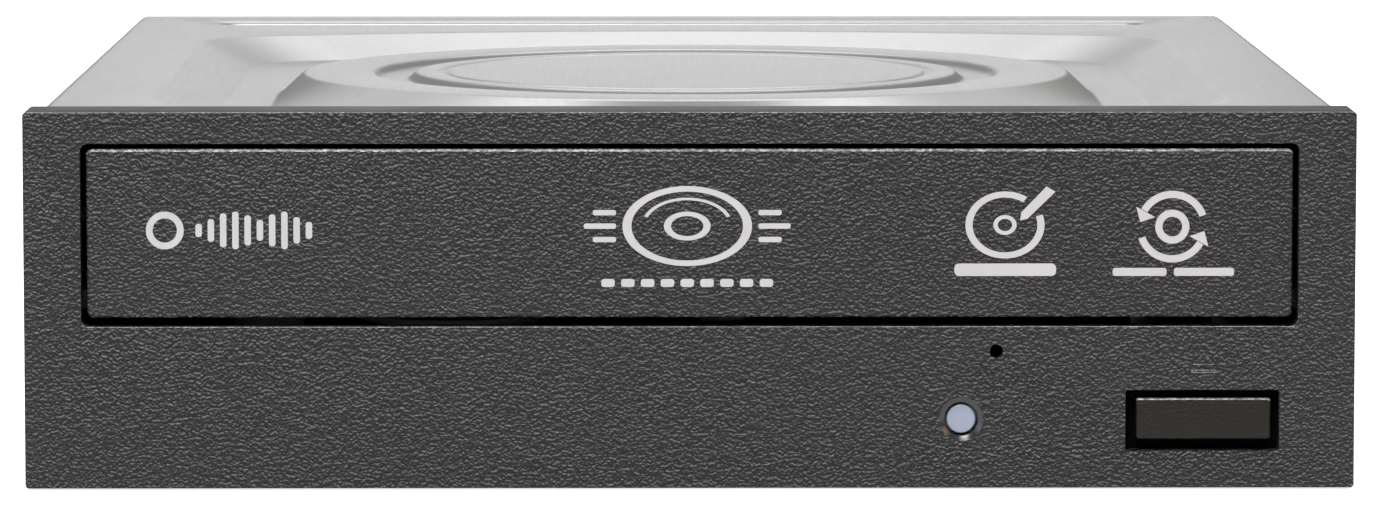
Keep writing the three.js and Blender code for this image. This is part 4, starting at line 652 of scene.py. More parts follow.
def recess_outline(inset):
    """The recess seen from above, about the spindle, moved inwards by inset."""
    across = case_x1 - RECESS_SIDE - inset
    front = face_y + RECESS_FRONT + inset - spindle_y
    rear = face_y + RECESS_REAR - inset - spindle_y
    corner = RECESS_CORNER
    shoulder = rear + BOW_START
    bow_top = rear + 2 * RECESS_BOW - BOW_START
    points = [(across, front + corner), (across, rear - corner)]
    for through, end, steps in (
        ((across, rear), (across - corner, shoulder), CORNER_STEPS),
        ((0, bow_top), (-across + corner, shoulder), BOW_STEPS),
        ((-across, rear), (-across, rear - corner), CORNER_STEPS),
    ):
        points += quadratic(points[-1], through, end, steps)
    points += [(-across, front + corner)]
    points += quadratic(points[-1], (-across, front), (-across + corner, front), CORNER_STEPS)
    points += [(across - corner, front)]
    points += quadratic(points[-1], (across, front), (across, front + corner), CORNER_STEPS)
    return points[:-1]


def reach(outline, angles):
    """How far each spoke runs before it meets the outline."""
    found = np.zeros(len(angles))
    for (ax, ay), (bx, by) in zip(outline, outline[1:] + outline[:1]):
        ex, ey = bx - ax, by - ay
        dx, dy = np.cos(angles), np.sin(angles)
        cross = dx * ey - dy * ex
        safe = np.where(np.abs(cross) < 1e-9, 1e-9, cross)
        along = (ax * ey - ay * ex) / safe
        part = (ax * dy - ay * dx) / safe
        hit = (np.abs(cross) > 1e-9) & (part >= -1e-6) & (part <= 1 + 1e-6) & (along > 0)
        found = np.where(hit, np.maximum(found, along), found)
    return found


BEND = 1.0  # outer radius of the folds along the sides and the rear
corners = [
    math.atan2(y - spindle_y, x) for x in (case_x0 + BEND, case_x1 - BEND) for y in (case_y0, case_y1 - BEND)
]
angles = np.linspace(0, 2 * math.pi, SPOKES, endpoint=False)
for corner in corners:
    angles[np.argmin(np.abs(angles - corner % (2 * math.pi)))] = corner % (2 * math.pi)
edge_outline = [
    (case_x0 + BEND, case_y0 - spindle_y),
    (case_x1 - BEND, case_y0 - spindle_y),
    (case_x1 - BEND, case_y1 - BEND - spindle_y),
    (case_x0 + BEND, case_y1 - BEND - spindle_y),
]
edge = reach(edge_outline, angles)
recess_top = reach(recess_outline(0), angles)
recess_foot = reach(recess_outline(RECESS_SLOPE), angles)
print("recess reaches", round(recess_top.min(), 1), "to", round(recess_top.max(), 1), "mm from the spindle")

# %% [markdown]
# Next come the heights. The platform's foot is round behind the spindle and squares off towards
# the front, so its front wall fans out into a wide, gentle slope. Each bend is a point on the
# spoke, and a small curve of three steps takes the place of each point.

# %% The bends along every spoke
GROOVE = (32.5, 33.4, 36.8, 37.7)
GROOVE_DEPTH = 0.9
RING_LINE = (28.4, 28.9, 29.5, 30.0)
RING_DEPTH = 0.22
FOOT_SIDE = PLATFORM_RADIUS + PLATFORM_SLOPE
foot_front = spindle_y - face_y - RECESS_FRONT
back = np.sin(angles)
square = np.minimum(
    FOOT_SIDE / np.maximum(np.abs(np.cos(angles)), 1e-6), foot_front / np.maximum(-back, 1e-6)
)
foot = np.where(back < 0, np.maximum(FOOT_SIDE, square), FOOT_SIDE)
foot = np.minimum(foot, recess_foot - 0.6)
ones = np.ones(SPOKES)
bends = [(0.5 * ones, 0.0)]
for lines, depth in ((RING_LINE, RING_DEPTH), (GROOVE, GROOVE_DEPTH)):
    bends += [(radius * ones, height) for radius, height in zip(lines, (0.0, -depth, -depth, 0.0))]
bends += [(PLATFORM_RADIUS * ones, 0.0), (foot, -RECESS_DEPTH)]
bends += [(recess_foot, -RECESS_DEPTH), (recess_top, 0.0), (edge, 0.0)]
SOFTEN = 0.45  # how far each bend's curve starts from its corner


def softened(bends):
    """Rings of (distance, height) with a short curve at each inner bend."""
    places = [np.stack([r, np.full(SPOKES, z)], axis=1) for r, z in bends]
    rings = [places[0]]
    for before, here, after in zip(places, places[1:], places[2:]):
        starts = []
        for other in (before, after):
            gap = other - here
            length = np.linalg.norm(gap, axis=1, keepdims=True)
            starts.append(here + gap / length * np.minimum(SOFTEN, 0.45 * length))
        for t in (0.0, 0.33, 0.67, 1.0):
            rings.append((1 - t) ** 2 * starts[0] + 2 * t * (1 - t) * here + t * t * starts[1])
    rings.append(places[-1])
    return rings


rings = softened(bends)
print(len(rings), "rings from", len(bends), "bends")

# %% [markdown]
# The strip between the recess and the rear edge carries one more feature: a long shallow bead.
# Rings are added there closely enough to draw it, and the bead lowers what lies inside it.
# Last, the edge turns down. The front edge stays open, because the bezel closes that side.

# %% Fold the cover and give it its thickness
BEAD_HALF = 61.0
BEAD_WIDTH = 4.0
BEAD_BACK = 17.0  # in front of the rear edge
BEAD_DEPTH = 0.45
BEAD_WALL = 0.9
BEAD_REAR_WALL = 0.35
BEAD_RINGS = 5  # along each side of the bead
RING_GAP = 0.04  # the least distance between two rings on a spoke
FOLD_STEPS = 5

bead_middle = case_y1 - BEAD_BACK
shares = [k / (BEAD_RINGS - 1) for k in range(BEAD_RINGS)]
bead_lines = [bead_middle - BEAD_WIDTH / 2 - BEAD_WALL * (1 - share) for share in shares]
bead_lines += [bead_middle + BEAD_WIDTH / 2 + BEAD_REAR_WALL * share for share in shares]
strip = []
rise = np.maximum(np.sin(angles), 1e-3)
for k, line in enumerate(bead_lines, 1):
    # the ring keeps to the straight line where its spoke meets it, and else stays in order
    wanted = np.where(np.sin(angles) > 0.1, (line - spindle_y) / rise, 1e6)
    lowest = rings[-2][:, 0] + RING_GAP * k
    highest = rings[-1][:, 0] - RING_GAP * (len(bead_lines) + 1 - k)
    placed = np.clip(wanted, lowest, np.maximum(highest, lowest))
    strip.append(np.stack([placed, np.zeros(SPOKES)], axis=1))
rings = rings[:-1] + strip + rings[-1:]


def bead_depth(x, y):
    """How far the bead lowers the sheet at a place. Its rear wall is steeper than the rest."""
    across = y - (case_y1 - BEAD_BACK)
    slope = np.where(across > 0, BEAD_REAR_WALL, BEAD_WALL)
    off = np.maximum(np.abs(across) - BEAD_WIDTH / 2, 0) / slope
    end = np.maximum(np.abs(x) - BEAD_HALF, 0) / BEAD_WALL
    inside = np.clip(1 - np.hypot(off, end), 0, 1)
    return BEAD_DEPTH * inside * inside * (3 - 2 * inside)


def cover_sheet():
    """The web of spokes and rings, with its sides and rear folded down."""
    bm = bmesh.new()
    grid = []
    for ring in rings:
        x = ring[:, 0] * np.cos(angles)
        y = ring[:, 0] * np.sin(angles) + spindle_y
        z = case_top + ring[:, 1] - bead_depth(x, y)
        grid.append([bm.verts.new((x[i] * MM, y[i] * MM, z[i] * MM)) for i in range(SPOKES)])
    last = np.array([v.co for v in grid[-1]]) / MM
    on_front = last[:, 1] < case_y0 + 0.01
    out_x = np.where(np.abs(last[:, 0]) > case_x1 - BEND - 0.01, np.sign(last[:, 0]), 0)
    out_y = np.where(last[:, 1] > case_y1 - BEND - 0.01, 1.0, 0.0)
    length = np.maximum(np.hypot(out_x, out_y), 1e-9)
    turns = np.linspace(0, math.pi / 2, FOLD_STEPS + 1)[1:]
    folds = [(BEND * math.sin(a), BEND * (1 - math.cos(a))) for a in turns]
    folds.append((BEND, case_top - case_z0))
    for outward, down in folds:
        row = []
        for i in range(SPOKES):
            x = last[i, 0] + outward * out_x[i] / length[i]
            y = last[i, 1] + outward * out_y[i] / length[i]
            row.append(bm.verts.new((x * MM, y * MM, (case_top - down) * MM)))
        grid.append(row)
    top_rows = len(rings)
    for row in range(len(grid) - 1):
        for i in range(SPOKES):
            j = (i + 1) % SPOKES
            if row >= top_rows - 1 and on_front[i] and on_front[j]:
                continue
            bm.faces.new((grid[row][i], grid[row + 1][i], grid[row + 1][j], grid[row][j]))
    bm.faces.new(grid[0])
    bmesh.ops.delete(bm, geom=[v for v in bm.verts if not v.link_faces], context="VERTS")
    return object_from("cover", bm)


cover = cover_sheet()
if sum(p.normal.z * p.area for p in cover.data.polygons) < 0:
    cover.data.flip_normals()
thickness = cover.modifiers.new("sheet", "SOLIDIFY")
thickness.thickness = SHEET * MM
thickness.offset = -1
settle(cover)
print("cover sheet has", len(cover.data.polygons), "faces")

# %% [markdown]
# The bay's screws pass through round holes in the sides, and the rear wall has a window for the
# connectors. They are cut after the sheet has its thickness, so that the holes show its edge.

# %% Cut the holes in the cover
SIDE_HOLE_RADIUS = 1.9
BAY_HOLE_Y = (-29.6, 49.65)  # the bay's pattern
BAY_HOLE_Z = (10.35, 22.15)
SOCKET_MARGIN = 1.2
SOCKET_SILL = 2.2
data_x, _, _ = mm_box("data_connector")
power_x, _, power_z = mm_box("power_connector")
sockets = (data_x[0] - SOCKET_MARGIN, power_x[1] + SOCKET_MARGIN, SOCKET_SILL, power_z[1] + 0.9)
across_case = (case_x0 - 2, case_x1 + 2)
cutters = []
for y in BAY_HOLE_Y:
    for z in BAY_HOLE_Z:
        cutters.append(blank("side_hole", circle(y, z, SIDE_HOLE_RADIUS), *across_case, "x"))
cutters.append(blank("window", rounded_box(*sockets, 0.8), case_y1 - 3, case_y1 + 2, "y"))
carve(cover, *cutters)
smooth(cover, 40)
finished(cover, "drive", "cover_steel", cover_steel, "top_cover")

# %% [markdown]
# ## The bezel
#
# A moulding with a thin face and a rim behind it. The door opening, the button's window, the hole
# for the light and the emergency hole are cut from the face, then every edge is broken. The top of
# the rim is moulded smoother than the face, with a finer grain, and its upward faces get a paler
# tone that is painted light from above.

# %% Mould the bezel
bx, by, bz = mm_box("bezel")
rim_rear = case_y0
door_box = mm_box("tray_door")
button_box = mm_box("eject_button")
pipe_box = mm_box("light_pipe")
FACE = 2.4
RIM_WALL = 1.8
OPENING = (-67.65, 67.65, 18.1, 38.5)
WINDOW = (48.5, 65.65, 4.15, 10.95)
LIGHT = (sum(pipe_box[0]) / 2, sum(pipe_box[2]) / 2)
HATCH = (34.1, 15.3, 0.75)  # the emergency hole: across, up and radius
SHELL_RADIUS = 0.4
HOLLOW_RADIUS = 0.5
OPENING_RADIUS = 0.8
WINDOW_RADIUS = 0.35
LIGHT_HOLE_RADIUS = 1.9
BEZEL_BREAK = 0.24

shell = rounded_box(*bx, *bz, SHELL_RADIUS)
bezel = blank("bezel_shell", shell, by[0], rim_rear, "y")
inside = (bx[0] + RIM_WALL, bx[1] - RIM_WALL, bz[0] + RIM_WALL, bz[1] - RIM_WALL)
through = (by[0] - 1, by[0] + FACE + 1)
carve(
    bezel,
    blank("hollow", rounded_box(*inside, HOLLOW_RADIUS), by[0] + FACE, rim_rear + 1, "y"),
    blank("opening", rounded_box(*OPENING, OPENING_RADIUS), *through, "y"),
    blank("window", rounded_box(*WINDOW, WINDOW_RADIUS), *through, "y"),
    blank("hatch", circle(*HATCH, 24), *through, "y"),
    blank("light_hole", circle(*LIGHT, LIGHT_HOLE_RADIUS), *through, "y"),
)
break_edges(bezel, BEZEL_BREAK)
print("bezel opening, mm:", OPENING[1] - OPENING[0], "by", round(OPENING[3] - OPENING[2], 2))

# %% [markdown]
# The light sits in a shallow round dish. A dish is a turned shape, so it is cut with a turned tool
# whose end is domed. The bezel's clips and its eject mark are welded on afterwards. The mark is a
# plain triangle over a bar, the usual sign for opening a tray, and it stands 0.3 mm
# proud of the face. Its sloping sides get the painted highlight of the broken edges, a paler plastic.

# %% Dish, clips and eject mark
DISH_RADIUS = 2.45
DISH_DEPTH = 0.5
DISH_PROFILE = (  # shares of the radius and the depth
    (0.0, 1.0), (0.66, 0.98), (0.78, 0.72), (0.90, 0.34), (1.0, 0.0), (1.0, -1.0), (0.0, -1.0)
)
MARK_X = 57.15
MARK_PROUD = 0.3
MARK_DRAFT = 0.28
TRIANGLE_HALF, TRIANGLE_LOW, TRIANGLE_TOP = 1.1, 13.9, 15.0
BAR_HALF, BAR_LOW, BAR_TOP = 1.2, 13.0, 13.12
CLIP_X = (40, 48)
CLIP_Z = ((39.25, 40.55), (1.45, 2.75))
CLIP_ROOT, CLIP_REACH = 3, 2.4


def draft(outline, spread):
    """The outline spread outwards from its middle, for the sloping sides of the mark."""
    cx = sum(a for a, _ in outline) / len(outline)
    cz = sum(b for _, b in outline) / len(outline)
    wider = []
    for a, b in outline:
        sideways = math.copysign(spread, a - cx) if abs(a - cx) > 0.01 else 0.0
        wider.append((a + sideways, b + math.copysign(spread, b - cz)))
    return wider


def raised(name, half_width, low, high, pointed=False):
    """A part of the eject mark, with a flat or a pointed top."""
    left, right = MARK_X - half_width, MARK_X + half_width
    top = [(MARK_X, high)] if pointed else [(right, high), (left, high)]
    outline = [(left, low), (right, low)] + top
    return blank(name, outline, by[0] - MARK_PROUD, by[0] + 0.3, "y", draft(outline, MARK_DRAFT))


dish = [(DISH_RADIUS * out, by[0] + DISH_DEPTH * down) for out, down in DISH_PROFILE]
carve(bezel, turned("dish", dish, LIGHT, 40, "y"))
triangle = raised("eject_triangle", TRIANGLE_HALF, TRIANGLE_LOW, TRIANGLE_TOP, pointed=True)
bar = raised("eject_bar", BAR_HALF, BAR_LOW, BAR_TOP)
clip_y = (rim_rear - CLIP_ROOT, rim_rear + CLIP_REACH)
clips = []
for side in (-1, 1):
    x = sorted((side * CLIP_X[0], side * CLIP_X[1]))
    clips += [box_blank("clip", x, clip_y, z) for z in CLIP_Z]
weld(bezel, triangle, bar, *clips)
smooth(bezel, 30)


def paint_faces(piece, material, chosen):
    """Gives another material to the faces that chosen(centre in mm, normal) picks."""
    piece.data.materials.append(material)
    index = len(piece.data.materials) - 1
    for polygon in piece.data.polygons:
        if chosen(polygon.center / MM, polygon.normal):
            polygon.material_index = index


def on_upper_edge(centre, normal):
    """Broken front edges that face upwards, which get a painted highlight."""
    near_lip = abs(centre.z - OPENING[2]) < 0.5
    return normal.y < -0.15 and normal.z > 0.2 and (near_lip or centre.z > OPENING[3] - 1.2)


def in_dish(centre, normal):
    """The dish's own faces, behind the bezel's face and near the light."""
    near = math.hypot(centre.x - LIGHT[0], centre.z - LIGHT[1]) < DISH_RADIUS + 0.05
    return near and by[0] + 0.001 < centre.y < by[0] + 1.2


def on_mark_side(centre, normal):
    """The sloping sides of the eject mark."""
    return centre.y < by[0] - 0.01 and normal.y > -0.9


def on_ledge(centre, normal):
    """The top of the rim."""
    return normal.z > 0.9 and centre.z > bz[1] - 0.4


bezel.data.materials.append(bezel_plastic)
# The rim's upward faces get a finer grain and a paler tone, painted light from above.
paint_faces(bezel, ledge_plastic, on_ledge)
# Broken front edges that face up get a painted highlight.
paint_faces(bezel, edge_highlight_plastic, on_upper_edge)
paint_faces(bezel, dish_plastic, in_dish)
# The eject mark's sloping sides get the same painted highlight.
paint_faces(bezel, edge_highlight_plastic, on_mark_side)
finished(bezel, "drive", "bezel_plastic", bezel_plastic, "bezel")

# %% [markdown]
# ## The door and its printed marks
#
# The door is a plate that rides on the tray. Its edges are broken a little more than the bezel's,
# and its upward-facing broken edges get a painted highlight, so a bright line runs along its top.
# The marks on it are pictograms of our own: a ring with bars, a disc with beams, a disc with a
# writing point and a disc between two arrows. They are printed, so they stand only a few
# hundredths of a millimetre proud.

# %% Make the door
DOOR_RADIUS = 0.7
DOOR_WALL = 1.8
DOOR_SKIN = 1.6
DOOR_SHELF = 29.1  # the solid foot behind the door ends here
DOOR_BREAK = 0.3
dx, dy, dz = door_box
door = blank("door", rounded_box(*dx, *dz, DOOR_RADIUS), *dy, "y")
hollow_x = (dx[0] + DOOR_WALL, dx[1] - DOOR_WALL)
hollow_z = (DOOR_SHELF, dz[1] - DOOR_WALL)
carve(door, box_blank("door_hollow", hollow_x, (dy[0] + DOOR_SKIN, dy[1] + 1), hollow_z))
break_edges(door, DOOR_BREAK)
door.data.materials.append(bezel_plastic)
# The door's upward-facing broken edges get the painted highlight.
paint_faces(door, edge_highlight_plastic, on_upper_edge)
finished(door, "tray", "bezel_plastic", bezel_plastic, "tray_door")

# %% Drawing tools for the marks
INK = 0.035
INK_ROOT = 0.05  # how far the ink reaches into the door
mark_front = dy[0] - INK
mark_back = dy[0] + INK_ROOT


def filled(bm, outline):
    """Adds a printed plate with that outline to the mark."""
    front = [bm.verts.new((x * MM, mark_front * MM, z * MM)) for x, z in outline]
    rear = [bm.verts.new((x * MM, mark_back * MM, z * MM)) for x, z in outline]
    bm.faces.new(front)
    bm.faces.new(rear[::-1])
    for i in range(len(outline)):
        j = (i + 1) % len(outline)
        bm.faces.new((front[j], front[i], rear[i], rear[j]))


def ring(bm, cx, cz, radius, width, start=0, end=360, steps=64, squash=1.0):
    """Adds a ring or part of one; squash flattens it."""
    loops = []
    for reach_out in (radius, radius - width):
        points = [(x, cz + (z - cz) * squash) for x, z in arc(cx, cz, reach_out, start, end, steps)]
        loops.append(
            [[bm.verts.new((x * MM, y * MM, z * MM)) for y in (mark_front, mark_back)] for x, z in points]
        )
    whole = abs(end - start) >= 360
    if whole:
        for loop in loops:
            for v in loop.pop():
                bm.verts.remove(v)
    outer, inner = loops
    for i in range(steps):
        j = (i + 1) % len(outer)
        (a, a_rear), (b, b_rear) = outer[i], outer[j]
        (c, c_rear), (d, d_rear) = inner[i], inner[j]
        bm.faces.new((a, b, d, c))
        bm.faces.new((b_rear, a_rear, c_rear, d_rear))
        bm.faces.new((b, a, a_rear, b_rear))
        bm.faces.new((c, d, d_rear, c_rear))
    if not whole:
        for k in (0, -1):
            (a, a_rear), (c, c_rear) = outer[k], inner[k]
            bm.faces.new((a, a_rear, c_rear, c))


def mark(name, draw):
    """Makes one printed mark that rides on the door."""
    bm = bmesh.new()
    draw(bm)
    piece = object_from(name, bm)
    return finished(piece, "tray", "bezel_plastic", mark_ink)


print("drawing tools ready")

# %% Print the marks
def bar_mark(bm):
    """A ring and a row of upright bars of changing height."""
    cz, reach_out = 28.85, 2.1
    ring(bm, -58.3, cz, reach_out, 0.75)
    for i, share in enumerate((0.35, 0.6, 0.9, 1.0, 0.8, 0.55, 0.85, 1.0, 0.7, 0.45)):
        x = -54.9 + i * 1.36
        rise = reach_out * share
        filled(bm, rounded_box(x, x + 0.72, cz - rise, cz + rise, 0.3, 4))


def beam_mark(bm):
    """A flattened disc with a hub, and a fan of lines on both sides."""
    cx, cz = -0.3, 29.3
    ring(bm, cx, cz, 7.2, 1.0, squash=0.62)
    ring(bm, cx, cz, 2.6, 0.8, squash=0.62, steps=40)
    ring(bm, cx, cz, 5.1, 0.45, 20, 160, squash=0.62, steps=30)
    for side in (-1, 1):
        for row, length in ((-1.5, 2.6), (0, 3.6), (1.5, 2.6)):
            start = cx + side * 7.9
            x = sorted((start, start + side * length))
            filled(bm, rounded_box(*x, cz + row - 0.3, cz + row + 0.3, 0.25, 4))
    for i in range(9):
        x = cx - 8.8 + i * 2.2
        filled(bm, rounded_box(x - 0.75, x + 0.75, 22.5, 23.4, 0.3, 4))


def writer_mark(bm):
    """A disc with a writing point above a bar."""
    cx, cz = 35.0, 29.4
    ring(bm, cx, cz, 4.4, 0.8, 56, 378, squash=0.85)
    ring(bm, cx, cz, 1.3, 0.5, squash=0.85, steps=32)
    pen = [(1.7, 0.5), (2.5, 0.7), (5.6, 3.7), (4.6, 4.3), (1.8, 1.4)]
    filled(bm, [(cx + x, cz + z) for x, z in pen])
    filled(bm, rounded_box(cx - 5.6, cx + 5.7, 23.7, 25.1, 0.5, 4))


def rewrite_mark(bm):
    """A disc inside two arrows that chase each other, with two bars below."""
    cx, cz = 53.6, 29.2
    ring(bm, cx, cz, 1.9, 0.8, steps=40)
    for start in (20, 200):
        ring(bm, cx, cz, 4.0, 0.8, start, start + 130, steps=30)
        foot, tip = math.radians(start + 131), math.radians(start + 152)
        head = ((4.6, foot), (3.6, tip), (2.2, foot))
        filled(bm, [(cx + r * math.cos(a), cz + r * math.sin(a)) for r, a in head])
    filled(bm, rounded_box(cx - 6.6, cx - 0.6, 23.7, 24.6, 0.3, 4))
    filled(bm, rounded_box(cx + 0.2, cx + 6.9, 23.7, 24.6, 0.3, 4))


mark("mark_bars", bar_mark)
mark("mark_beam", beam_mark)
mark("mark_writer", writer_mark)
mark("mark_rewrite", rewrite_mark)

# %% [markdown]
# ## The eject button and the light
#
# The button is a small slab on a flange that keeps it behind the face. Its edges are broken, and
# the upper ones get a painted highlight in the paler plastic. What lies behind the face is painted
# nearly black as painted shadow, so the gap round the button reads as a shadow. The light is the
# polished end of a clear rod that leads back to a lamp on the front board.

# %% Make the button and the light pipe
BUTTON = (49.7, 64.7, 5.4, 10.0)
SET_BACK = 0.3  # of the button behind the face, and of its flange behind the wall
BUTTON_RADIUS = 0.35
BUTTON_BREAK = 0.3
FLANGE_REACH = 1.9
STEM_X, STEM_Z = (55.7, 58.7), (6.2, 7.8)
PIPE_RADIUS = 1.6
COLLAR_RADIUS = 2.6
COLLAR_WIDTH = 1.2

flange_y = by[0] + FACE + SET_BACK
face = rounded_box(*BUTTON, BUTTON_RADIUS)
button = blank("button", face, by[0] + SET_BACK, flange_y + 0.6, "y")
break_edges(button, BUTTON_BREAK, 4)
flange_x = (BUTTON[0] - FLANGE_REACH, BUTTON[1] + FLANGE_REACH)
flange_z = (BUTTON[2] - FLANGE_REACH, BUTTON[3] + FLANGE_REACH)
flange = box_blank("flange", flange_x, (flange_y, flange_y + 1), flange_z)
stem = box_blank("stem", STEM_X, (flange_y + 0.5, button_box[1][1]), STEM_Z)
weld(button, flange, stem)
smooth(button)
button.data.materials.append(button_plastic)
# What lies behind the face gets painted shadow: near-black plastic, so the gap round the button looks dark.
paint_faces(button, shade_plastic, lambda centre, normal: centre.y > flange_y - 0.4)
# The button's upper broken edges get the painted highlight.
paint_faces(button, edge_highlight_plastic, lambda centre, normal: normal.y < -0.15 and normal.z > 0.2)
finished(button, "eject_button", "button_plastic", button_plastic, "eject_button")

pipe = blank("light_rod", circle(*LIGHT, PIPE_RADIUS, 40), *pipe_box[1], "y")
break_edges(pipe, 0.15, 3)
collar = circle(*LIGHT, COLLAR_RADIUS, 40)
weld(pipe, blank("collar", collar, flange_y, flange_y + COLLAR_WIDTH, "y"))
smooth(pipe)
finished(pipe, "drive", "light_clear", light_clear, "light_pipe")

# %% [markdown]
# ## The bottom cover
#
# A flat pan whose flanges stand inside the top cover. It has a dimple for each screw, so that the
# heads don't scratch the shelf, holes for the bay's screws and two long stiffening beads. The
# dimples are cones, welded on and hollowed from below. The beads are shallow grooves.

# %% Press the pan
px, py, pz = mm_box("bottom_cover")
PAN_TOP = pz[0] + SHEET
screw_boxes = [mm_box(f"cover_screw_{i}") for i in range(1, 5)]
screw_places = [(sum(b[0]) / 2, sum(b[1]) / 2) for b in screw_boxes]
DIMPLE = 1.5
SCREW_HOLE_RADIUS = 1.7
BASE_HOLE_X = (-69.85, 69.85)
BASE_HOLE_RADIUS = 1.2
FLANGE_HOLE_RADIUS = 1.25
BEAD_X = (-26, 26)
GROOVE_HALF, GROOVE_REACH, GROOVE_RISE = 3, 60, 0.35


def cone(name, cx, cy, low, high, low_radius, high_radius, steps=40):
    """A closed cone with its point cut off, upright."""
    return turned(name, [(0, low), (low_radius, low), (high_radius, high), (0, high)], (cx, cy), steps)


pan = box_blank("pan", px, py, (pz[0], PAN_TOP))
adds = []
for x in ((px[0], px[0] + SHEET), (px[1] - SHEET, px[1])):
    adds.append(box_blank("flange", x, (py[0] + 2, py[1]), pz))
hollows = []
for cx, cy in screw_places:
    adds.append(cone("dimple", cx, cy, pz[0] + 0.1, PAN_TOP + DIMPLE, 6.2, 5.2))
    hollows.append(cone("dimple_hollow", cx, cy, pz[0] - 0.5, PAN_TOP + DIMPLE - SHEET, 5.5, 4.4))
    hollows.append(blank("screw_hole", circle(cx, cy, SCREW_HOLE_RADIUS, 24), 0, 6))
for y in BAY_HOLE_Y:
    for x in BASE_HOLE_X:
        hollows.append(blank("base_hole", circle(x, y, BASE_HOLE_RADIUS, 24), 0, 3))
    for z in BAY_HOLE_Z:
        hole = circle(y, z, FLANGE_HOLE_RADIUS, 24)
        hollows.append(blank("flange_hole", hole, px[0] - 1, px[1] + 1, "x"))
for x in BEAD_X:
    groove = rounded_box(x - GROOVE_HALF, x + GROOVE_HALF, -GROOVE_REACH, GROOVE_REACH, 2.9, 10)
    hollows.append(blank("bead", groove, pz[0] - 0.5, pz[0] + GROOVE_RISE))
weld(pan, *adds)
carve(pan, *hollows)
break_edges(pan, 0.12, 2)
finished(pan, "drive", "cover_steel", cover_steel, "bottom_cover")

# %% [markdown]
# The screws that hold the pan have low heads with a cross recess. A cross recess is two crossed
# blocks that narrow towards their tip, cut into a turned head.

# %% Turn the screws
CROSS_SPAN, CROSS_WIDTH, CROSS_DEPTH = 3.0, 0.7, 0.8
CROSS_TAPER = 0.45
SHANK_RADIUS = 1.3
HEAD_PROFILE = ((1.8, 0.0), (2.5, 0.2), (2.8, 0.6), (2.8, 1.1), (SHANK_RADIUS, 1.1))


def cross_tool(cx, cy, surface):
    """Two crossed cutters for a driver's cross, narrower at their tip."""
    cutters = []
    square = ((-1, -1), (1, -1), (1, 1), (-1, 1))
    for half_x, half_y in ((CROSS_SPAN / 2, CROSS_WIDTH / 2), (CROSS_WIDTH / 2, CROSS_SPAN / 2)):
        mouth, tip = (
            [(cx + a * half_x * share, cy + b * half_y * share) for a, b in square]
            for share in (1.0, CROSS_TAPER)
        )
        cutters.append(blank("cross", mouth, surface - 0.5, surface + CROSS_DEPTH, "z", tip))
    return cutters


for number, (cx, cy) in enumerate(screw_places, 1):
    low, high = screw_boxes[number - 1][2]
    profile = [(0, low)] + [(radius, low + up) for radius, up in HEAD_PROFILE]
    profile += [(SHANK_RADIUS, high - 0.4), (0.9, high), (0, high)]
    head = turned(f"pan_screw_{number}", profile, (cx, cy), 32)
    carve(head, *cross_tool(cx, cy, low))
    smooth(head)
    finished(head, "drive", "screw_steel", screw_steel, f"cover_screw_{number}")

# %% [markdown]
# ## The tray
#
# The tray is one moulding: two round wells, one inside the other, for large and small discs, and
# a long slot for the spindle and the pickup. Finger notches at the wells' sides let a disc be
# lifted out. The rack under its left side has straight teeth that slope by the gear's pressure
# angle. They are spaced from the gear's axle, so that they mesh with it, and drawn as one outline.

# %% Mould the tray
tx, ty, tz = mm_box("tray")
TRAY_LOW = 21.6
WELL_FLOOR, WELL_RADIUS = 2.4, 60.5
SMALL_FLOOR, SMALL_RADIUS = 1.6, 40.5
SLOT_HALF = 24
POCKET = (28, 60.5)  # between the wells' rear and the tray's
NOTCH_TURNS = (38, 142, 218, 322)
NOTCH_OUT, NOTCH_RADIUS = 61, 8
tray_top = tz[1]
tray = blank("tray_body", rounded_box(*tx, *ty, 3), TRAY_LOW, tray_top)
slot_outline = arc(0, spindle_y, SLOT_HALF, 180, 360, 40)
slot_outline += [(SLOT_HALF, ty[1] + 3), (-SLOT_HALF, ty[1] + 3)]
cutters = [
    blank("well", circle(0, spindle_y, WELL_RADIUS, 120), TRAY_LOW + WELL_FLOOR, tray_top + 1),
    blank("small_well", circle(0, spindle_y, SMALL_RADIUS, 96), TRAY_LOW + SMALL_FLOOR, tray_top + 1),
    blank("slot", slot_outline, TRAY_LOW - 1, tray_top + 1),
]
for x in (POCKET, (-POCKET[1], -POCKET[0])):
    pocket = rounded_box(*x, 49, ty[1] - 4, 2)
    cutters.append(blank("pocket", pocket, TRAY_LOW + WELL_FLOOR, tray_top + 1))
for turn in map(math.radians, NOTCH_TURNS):
    place = (NOTCH_OUT * math.cos(turn), spindle_y + NOTCH_OUT * math.sin(turn))
    cutters.append(blank("notch", circle(*place, NOTCH_RADIUS, 40), TRAY_LOW + WELL_FLOOR, tray_top + 1))
carve(tray, *cutters)
break_edges(tray, 0.35)
print("tray body has", len(tray.data.polygons), "faces")

# %% The tray's rack
MODULE = 1.0
STEP = math.pi * MODULE
PITCH_X = tx[0] + 7.5
RACK_BACK = tx[0] + 2.5
PRESSURE_ANGLE = math.radians(20)
ADDENDUM, DEDENDUM = 0.85, 1.2
TOOTH_PLAY = 0.15
gear_y = sum(mm_box("drive_gear")[1]) / 2
lean = math.tan(PRESSURE_ANGLE)
half_tooth = STEP / 4 - TOOTH_PLAY
root, tip = PITCH_X - DEDENDUM * MODULE, PITCH_X + ADDENDUM * MODULE
first = math.ceil((ty[0] + 14 - gear_y) / STEP)
last = math.floor((ty[1] - 1.5 - gear_y) / STEP)
teeth = []
for k in range(first, last + 1):
    y = gear_y + k * STEP
    teeth += [(root, y - half_tooth - DEDENDUM * lean), (tip, y - half_tooth + ADDENDUM * lean)]
    teeth += [(tip, y + half_tooth - ADDENDUM * lean), (root, y + half_tooth + DEDENDUM * lean)]
